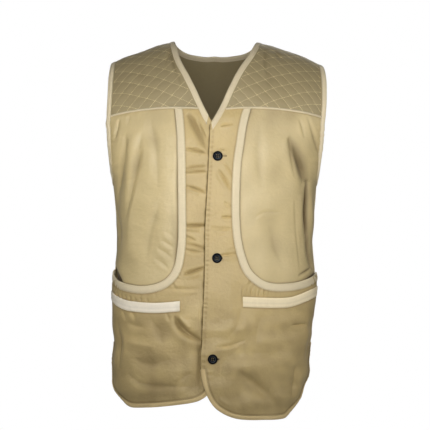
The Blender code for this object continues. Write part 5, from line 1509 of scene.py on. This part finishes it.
print("fronts")
fronts = {side: makeFront(side) for side in (1, -1)}
print("chests")
chests = {side: makeChest(side) for side in (1, -1)}
print("yokes")
yokes = {side: makeYokeFront(side) for side in (1, -1)}
yokeBack, backArms, backNeckTrim, yokeBackLoop, backRelief = makeYokeBack()
print("back")
back, lowArms, backHemTrim = makeBack()

print("trims")
# Grooves and gathers of each strip: profile points with their painted shade, and which points ripple, how long and how
# high
armBinding = {
    # it ripples round one height in front and kinks at another: reach, height
    "ripple": (0.045, -0.185), "kink": (0.008, -0.153), "frontTo": 0.03, "kinkOut": {1: 0.0, -1: 0.0030},
    # its outer points are painted lighter, more on one side than the other: a painted highlight
    "length": 0.0088, "uneven": 0.013, "out": {1: 0.0009, -1: 0.00035}, "paintedHighlight": {1: -0.24, -1: -0.15},
}
pocketBand = {"gathers": (slice(3, 8), 0.0105, 0.00018), "groove": ((0, 0.45), (2, 0.50)), "runUnder": 0.003}
hemBinding = {"gathers": (slice(3, 7), 0.0072, 0.00035), "groove": ((0, 0.45), (1, 0.25), (2, 0.40))}
welt = {
    "gathers": (slice(3, 7), 0.0170, 0.0005), "groove": ((0, 0.45), (2, 0.25), (5, 0.10)), "step": 0.0035,
    "look": {1: "weltTape", -1: "whiteTape"},
}
seams = {"creamThread": [], "khakiThread": []}  # the lines of sewing by thread
for side, tag in tags.items():
    yoke, arm, neckTrim, _, _ = yokes[side]
    loop = joined(
        profileRows(yoke, *arm, tapeProfile), profileRows(chests[side][0], *chests[side][1], tapeProfile),
        profileRows(back, *lowArms[side], tapeProfile)[::-1], profileRows(yokeBack, *backArms[side], tapeProfile)[::-1],
    )
    loop = settle(loop, 3, True)
    along = walked(loop[:, 4])
    outward = loop[:, 7] - loop[:, 2]
    outward /= np.linalg.norm(outward, axis=1, keepdims=True)
    height = loop[:, 4, 2]
    inFront = loop[:, 4, 1] < armBinding["frontTo"]
    wave = np.sin(2 * math.pi * along / armBinding["length"] + 1.5 * np.sin(along / armBinding["uneven"]))
    wave = wave * armBinding["out"][side] * (bell(height, *armBinding["ripple"]) * inFront)
    kink = armBinding["kinkOut"][side] * bell(height, *armBinding["kink"]) * inFront
    loop = loop + (outward * (wave + kink)[:, None])[:, None]
    # painted shade in the stitch groove, and a painted highlight over the outer points
    shadeAndHighlight = ((2, 0.40), *((column, armBinding["paintedHighlight"][side]) for column in range(3, 8)))
    piece = carry(f"armhole_binding_{tag}", loop, "creamTape", closed=True, groove=shadeAndHighlight)
    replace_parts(piece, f"armhole_binding_{tag}")
    seams["creamThread"].append(threadRun(loop))
    cloth, trims = fronts[side]
    band = settle(profileRows(cloth, *trims["pocket"], bandProfile), 4, False)
    # its upper end runs on under the piping
    end, near = (0, 1) if band[0, 4, 2] > band[-1, 4, 2] else (-1, -2)
    way = band[end] - band[near]
    band[end] += pocketBand["runUnder"] * way / np.linalg.norm(way, axis=1, keepdims=True)
    band = ripple(band, *pocketBand["gathers"], side)
    piece = carry(f"pocket_band_{tag}", band, "creamTape", groove=pocketBand["groove"])
    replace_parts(piece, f"pocket_band_{tag}")
    seams["creamThread"].append(threadRun(band))
    hemStrip = settle(profileRows(cloth, *trims["hem"], hemProfile), 1, False)
    hemStrip = ripple(hemStrip, *hemBinding["gathers"], side)
    piece = carry(f"hem_binding_front_{tag}", hemStrip, "khakiTape", groove=hemBinding["groove"])
    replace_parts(piece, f"hem_binding_front_{tag}")
    seams["khakiThread"].append(threadRun(hemStrip))
    top = evenGirths(girths(smoothLine(listed(weltTop[side]) * (side, 1), 5)), welt["step"])
    foot = top - (0, cut["welt"])
    top[-1, 0] = foot[-1, 0] = side * body["stripEnd"]
    strip = ripple(profileRows(cloth, top, foot, weltProfile), *welt["gathers"], 2 + side)
    piece = carry(f"welt_{tag}", strip, welt["look"][side], groove=welt["groove"])
    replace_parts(piece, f"welt_{tag}")
    seams["creamThread"].append(threadRun(strip))
    x = np.linspace(side * piping["ends"] + neckTrim[1][0, 0], arm[1][-1, 0] - side * piping["ends"], 60)
    piece = addPiping(f"yoke_piping_{tag}", torsoFront, girths(np.column_stack([x, seamZ(x)])))
    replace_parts(piece, f"yoke_piping_{tag}")

hemStrip = ripple(settle(profileRows(back, *backHemTrim, hemProfile), 1, False), *hemBinding["gathers"], 4)
piece = carry("hem_binding_back", hemStrip, "khakiTape", groove=hemBinding["groove"])
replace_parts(piece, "hem_binding_back")
seams["khakiThread"].append(threadRun(hemStrip))
fronted = {side: profileRows(fronts[side][0], *fronts[side][1]["neck"], tapeProfile) for side in (1, -1)}
yoked = {side: profileRows(yokes[side][0], *yokes[side][2], tapeProfile) for side in (1, -1)}
behind = profileRows(yokeBack, *backNeckTrim, tapeProfile)
loop = joined(fronted[1][::-1], yoked[1], behind[::-1], yoked[-1][::-1], fronted[-1])
loop = settle(loop, 3, False)
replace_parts(carry("neck_binding", loop, "creamTape"), "neck_binding")
seams["creamThread"].append(threadRun(loop))
x = np.linspace(backArms[-1][1][-1, 0] + piping["ends"], backArms[1][1][-1, 0] - piping["ends"], 140)
piece = addPiping("yoke_piping_back", torsoBack, girths(np.column_stack([x, np.full(140, body["backSeam"])]), True))
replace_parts(piece, "yoke_piping_back")


print("buttons")
button = {
    "radius": 0.0100, "hole": 0.0011, "apart": 0.0018, "rim": 56, "holeRim": 14,
    # plan rings, and the height of the top and the underside, at shares of the radius
    "rings": (0.97, 0.94, 0.90, 0.85, 0.80, 0.74, 0.68, 0.60, 0.52, 0.43),
    "face": [
        (0, 0.0019), (0.36, 0.0019), (0.46, 0.0021), (0.54, 0.0025), (0.62, 0.0023), (0.70, 0.0027), (0.80, 0.0036),
        (0.90, 0.0035), (0.97, 0.0028), (1, 0.0018),
    ],
    "under": [(0, 0.0), (0.62, 0.0), (0.90, 0.0005), (1, 0.0011)],
    # a painted highlight ring: its width and where it lies, in shares of the radius, and how pale it is
    "worn": (0.060, 0.58), "pale": 0.85, "sharp": 40,
}
buttonThread = {"low": 0.0008, "arch": 0.0021, "bend": 1.45, "strands": 0.00034, "radius": 0.00022, "around": 8}
buttonhole = {
    # how far each one reaches past its button's middle, both ways, half its width, its cord and its slit
    "reach": (0.0177, 0.0108, 0.0126), "back": 0.0044, "half": 0.0013, "cord": (0.0008, 0.0005), "sunk": 0.0001,
    "slit": (0.97, 0.6), "slitHeights": (0.00005, -0.0002), "points": 48,
}


def ringPoints(radius, count, centre=(0, 0)):
    angle = np.linspace(0, 2 * math.pi, count, endpoint=False)
    return np.column_stack([centre[0] + radius * np.cos(angle), centre[1] + radius * np.sin(angle)])


def makeButton(name, x, z):
    # a dished disc: its plan is triangulated with four holes, and its height follows the radius
    r, apart = button["radius"], button["apart"]
    holes = [(apart * a, apart * b) for a in (-1, 1) for b in (-1, 1)]
    loops = [ringPoints(r, button["rim"])] + [ringPoints(button["hole"], button["holeRim"], hole) for hole in holes]
    rings = [ringPoints(r * share, int(button["rim"] * share) + 6) for share in button["rings"]]
    points = np.vstack([*loops, *rings, [(0, 0)]])
    start = np.cumsum([0] + [len(loop) for loop in loops])
    rounds = [list(range(a, b)) for a, b in zip(start[:-1], start[1:])]
    rounds = [rounds[0]] + [ring[::-1] for ring in rounds[1:]]
    found = delaunay_2d_cdt([Vector(p) for p in points.tolist()], [], rounds, 2, 1e-8)
    plan = np.array([tuple(v) for v in found[0]])
    triangles = np.array(found[2])
    middle = plan[triangles].mean(axis=1)
    for hole in holes:
        clear = np.hypot(*(middle - hole).T) >= button["hole"] * 0.97
        triangles, middle = triangles[clear], middle[clear]
    share = np.hypot(*plan.T) / r
    heights = [np.interp(share, *np.array(button[key]).T) for key in ("face", "under")]
    _, _, normal, here = slopesOf(torsoFront, girths([(x, z)]))
    normal = normal[0]
    lift = (cut["frontLift"] + lapHeight(here[:, 2]))[0]
    base = here[0] + normal * (lift + cut["cloth"] + cut["gap"])
    across = np.cross((0, 0, 1.0), normal)
    across /= np.linalg.norm(across)
    up = np.cross(normal, across)
    both = [base + plan[:, :1] * across + plan[:, 1:] * up + h[:, None] * normal for h in heights]
    points, faces = closeWall(*both, triangles)
    uv = np.vstack([plan, plan])
    # painted highlight: a pale ring, brightest towards the lower right, stands in for a glint
    lit = 0.62 + 0.38 * np.cos(np.arctan2(plan[:, 1], plan[:, 0]) + 0.6)
    worn = button["pale"] * lit * bell(share, *button["worn"])
    piece = addPiece(name, points, faces, uv, "buttonResin", np.concatenate([worn, worn]), button["sharp"])
    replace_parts(piece, name)
    return base, across, up, normal


def threadCross(base, across, up, normal):
    # two parallel bars of thread, three strands each, through a button's holes, arched and ending in them
    t = np.linspace(-1, 1, 13)
    height = buttonThread["low"] + buttonThread["arch"] * np.cos(t * buttonThread["bend"]) ** 0.5
    bars = []
    for strand in (-1, 0, 1):
        for bar in (-1, 1):
            shift = bar * button["apart"] + strand * buttonThread["strands"]
            points = base + np.outer(t * button["apart"], up) + shift * across + height[:, None] * normal
            way = sideways(points)
            out = normal - (normal * way).sum(1, keepdims=True) * way
            out /= np.linalg.norm(out, axis=1, keepdims=True)
            ring = hoops(np.cross(way, out), out, buttonThread["around"])
            bars.append(points[:, None] + buttonThread["radius"] * ring)
    return bars


def makeButtonhole(k, base, across, up, normal):
    # a dark slit in a long oval of close stitching, mostly under its button
    count, reach, back = buttonhole["points"], buttonhole["reach"][k], buttonhole["back"]
    angle = np.linspace(0, 2 * math.pi, count, endpoint=False)
    u = (reach - back) / 2 + (reach + back) / 2 * np.sign(np.cos(angle)) * np.abs(np.cos(angle)) ** 0.35
    v = buttonhole["half"] * np.sign(np.sin(angle)) * np.abs(np.sin(angle)) ** 0.5
    centre = base + np.outer(u, across) + np.outer(v, up) - buttonhole["sunk"] * normal
    ahead = np.roll(centre, -1, axis=0) - np.roll(centre, 1, axis=0)
    ahead /= np.linalg.norm(ahead, axis=1, keepdims=True)
    turn = np.linspace(0, 2 * math.pi, 8, endpoint=False)[None, :, None]
    wide, high = buttonhole["cord"]
    ring = np.cos(turn) * np.cross(ahead, normal)[:, None] * wide + np.sin(turn) * normal * high
    carry(f"buttonhole_{k + 1}", centre[:, None] + ring, "holeThread", closed=True)
    # the slit is a near-black sheet: painted shade for the opening
    along, aside = buttonhole["slit"]
    flatSlit = base + np.outer(u, across) * along + np.outer(v * aside, up)
    rim = np.vstack([flatSlit + height * normal for height in buttonhole["slitHeights"]])
    m = np.arange(count)
    quads = np.column_stack([m, (m + 1) % count, count + (m + 1) % count, count + m])
    fan = np.column_stack([m[1:24], m[2:25], m[46:23:-1], m[47:24:-1]])
    addPiece(f"buttonhole_slit_{k + 1}", rim, np.vstack([quads, fan]), rim[:, [0, 2]], "slit")


spots = [makeButton(f"button_{k + 1}", x, z) for k, (x, z) in enumerate(listed(buttonPlaces))]
threads = np.stack([bar for spot in spots for bar in threadCross(*spot)])
count, rows, around = threads.shape[:3]
k = np.arange(around)
r = np.arange(rows - 1)[:, None] * around
quads = np.stack([r + k, r + (k + 1) % around, r + around + (k + 1) % around, r + around + k], axis=-1).reshape(-1, 4)
quads = (quads[None] + rows * around * np.arange(count)[:, None, None]).reshape(-1, 4)
threads = threads.reshape(-1, 3)
addPiece("button_thread", threads, quads, threads[:, [0, 2]], "buttonThread")
for k, spot in enumerate(spots):
    makeButtonhole(k, *spot)

print("sewing")
sew("stitches_pale", seams["creamThread"], "creamThread")
sew("stitches_khaki", seams["khakiThread"], "khakiThread")


def quiltRuns(cloth, loop, quiets, relief):
    # both sets of slanting lines, in short steps, kept where they lie inside the yoke and clear of its trims
    low, high = loop.min(axis=0), loop.max(axis=0)
    runs = []
    for turn in (1, -1):
        a0, a1 = low[0] / quilt["x"], high[0] / quilt["x"]
        b0, b1 = low[1] / quilt["fall"], high[1] / quilt["fall"]
        ends = (a0 + min(turn * b0, turn * b1), a1 + max(turn * b0, turn * b1))
        for level in range(2 * math.floor(ends[0] / 2), 2 * math.ceil(ends[1] / 2) + 1, 2):
            x = np.arange(low[0], high[0], quilt["step"])
            fall = turn * (level - x / quilt["x"]) * quilt["fall"]
            line = np.column_stack([x, fall])[(fall > low[1]) & (fall < high[1])]
            if len(line) < quilt["fewest"]:
                continue
            keep = insideLoop(loop, line)
            for border in quiets:
                keep &= nearestOn(border, line)[0] > quilt["clear"]
            breaks = np.flatnonzero(np.diff(keep.astype(int)))
            for part, kept in zip(np.split(line, breaks + 1), np.split(keep, breaks + 1)):
                if len(part) >= quilt["fewest"] and kept[0]:
                    place, normal = cloth.at(part, 1.0, relief(part))
                    runs.append((place, normal))
    return runs


quilting = []
for side in (1, -1):
    yoke, arm, neckTrim, loop, relief = yokes[side]
    quilting += quiltRuns(yoke, loop, [arm[1], neckTrim[1]], relief)
quilting += quiltRuns(yokeBack, yokeBackLoop, [backArms[1][1], backArms[-1][1], backNeckTrim[1]], backRelief)
sew("stitches_quilting", quilting, "quiltThread", length=0.0031, pitch=0.0034, width=0.0011, height=0.0006)

print("camera and light")
view = {"lens": 133.95, "sensor": 36, "far": 50, "place": (0.001, -3.33, -0.338)}
lens = bpy.data.cameras.new("camera")
lens.lens = view["lens"]
lens.sensor_width = view["sensor"]
lens.clip_end = view["far"]
camera = bpy.data.objects.new("camera", lens)
camera.location = view["place"]
camera.rotation_euler = (math.pi / 2, 0, 0)
bpy.context.scene.collection.objects.link(camera)
bpy.context.scene.camera = camera

lights = {  # place, width and height, power, and the point that each is turned to
    "near": ((-0.02, -0.95, -0.28), (1.3, 0.28), 2.75, (0, 0, -0.27)),
    "key": ((-0.15, -1.25, 0.95), (0.7, 0.7), 3.6, (0, 0, -0.25)),
    "front": ((-0.1, -2.9, 0.45), (1.1, 1.1), 2.0, (0, 0, -0.25)),
    "left": ((-2.2, -1.2, 0.1), (1.2, 1.2), 6.6, (0, 0, -0.35)),
    "right": ((2.2, -1.2, 0.1), (1.2, 1.2), 11.5, (0, 0, -0.35)),
    "behind": ((0.3, 2.3, 1.0), (1.8, 1.8), 16.0, (0, 0, -0.3)),
}
for name, (place, size, power, aim) in lights.items():
    lamp = bpy.data.lights.new(name, "AREA")
    lamp.shape = "RECTANGLE"
    lamp.size, lamp.size_y = size
    lamp.energy = power
    lamp.spread = math.radians(88 if name == "near" else 180)
    held = bpy.data.objects.new(name, lamp)
    held.location = place
    held.rotation_euler = (Vector(place) - Vector(aim)).to_track_quat("Z", "Y").to_euler()
    held.visible_camera = False
    bpy.context.scene.collection.objects.link(held)

# The camera sees a white surround, and the cloth is lit by a dimmer one
surround = {"seen": (1, 1, 1, 1), "light": (0.98, 0.99, 1.0, 1), "strength": 0.11}
world = bpy.data.worlds.new("surround")
world.use_nodes = True
bpy.context.scene.world = world
tree = world.node_tree
tree.nodes.clear()
seen, lit = tree.nodes.new("ShaderNodeBackground"), tree.nodes.new("ShaderNodeBackground")
seen.inputs["Color"].default_value = surround["seen"]
lit.inputs["Color"].default_value = surround["light"]
lit.inputs["Strength"].default_value = surround["strength"]
path = tree.nodes.new("ShaderNodeLightPath")
mix = tree.nodes.new("ShaderNodeMixShader")
output = tree.nodes.new("ShaderNodeOutputWorld")
tree.links.new(path.outputs["Is Camera Ray"], mix.inputs[0])
tree.links.new(lit.outputs[0], mix.inputs[1])
tree.links.new(seen.outputs[0], mix.inputs[2])
tree.links.new(mix.outputs[0], output.inputs[0])
scene = bpy.context.scene
scene.view_settings.view_transform = "Standard"
scene.view_settings.look = "None"

ground = {"radius": 3.5, "points": 96, "height": -1.45, "colour": (0.82, 0.82, 0.82, 1), "rough": 0.9}
floorMesh = bpy.data.meshes.new("floor")
ring = ringPoints(ground["radius"], ground["points"])
ring = np.column_stack([ring, np.full(len(ring), ground["height"])])
floorMesh.from_pydata(ring, [], [list(range(len(ring)))])
floor = bpy.data.objects.new("floor", floorMesh)
scene.collection.objects.link(floor)
paper = bpy.data.materials.new("palePaper")
paper.use_nodes = True
shader = paper.node_tree.nodes["Principled BSDF"]
shader.inputs["Base Color"].default_value = ground["colour"]
shader.inputs["Roughness"].default_value = ground["rough"]
floorMesh.materials.append(paper)
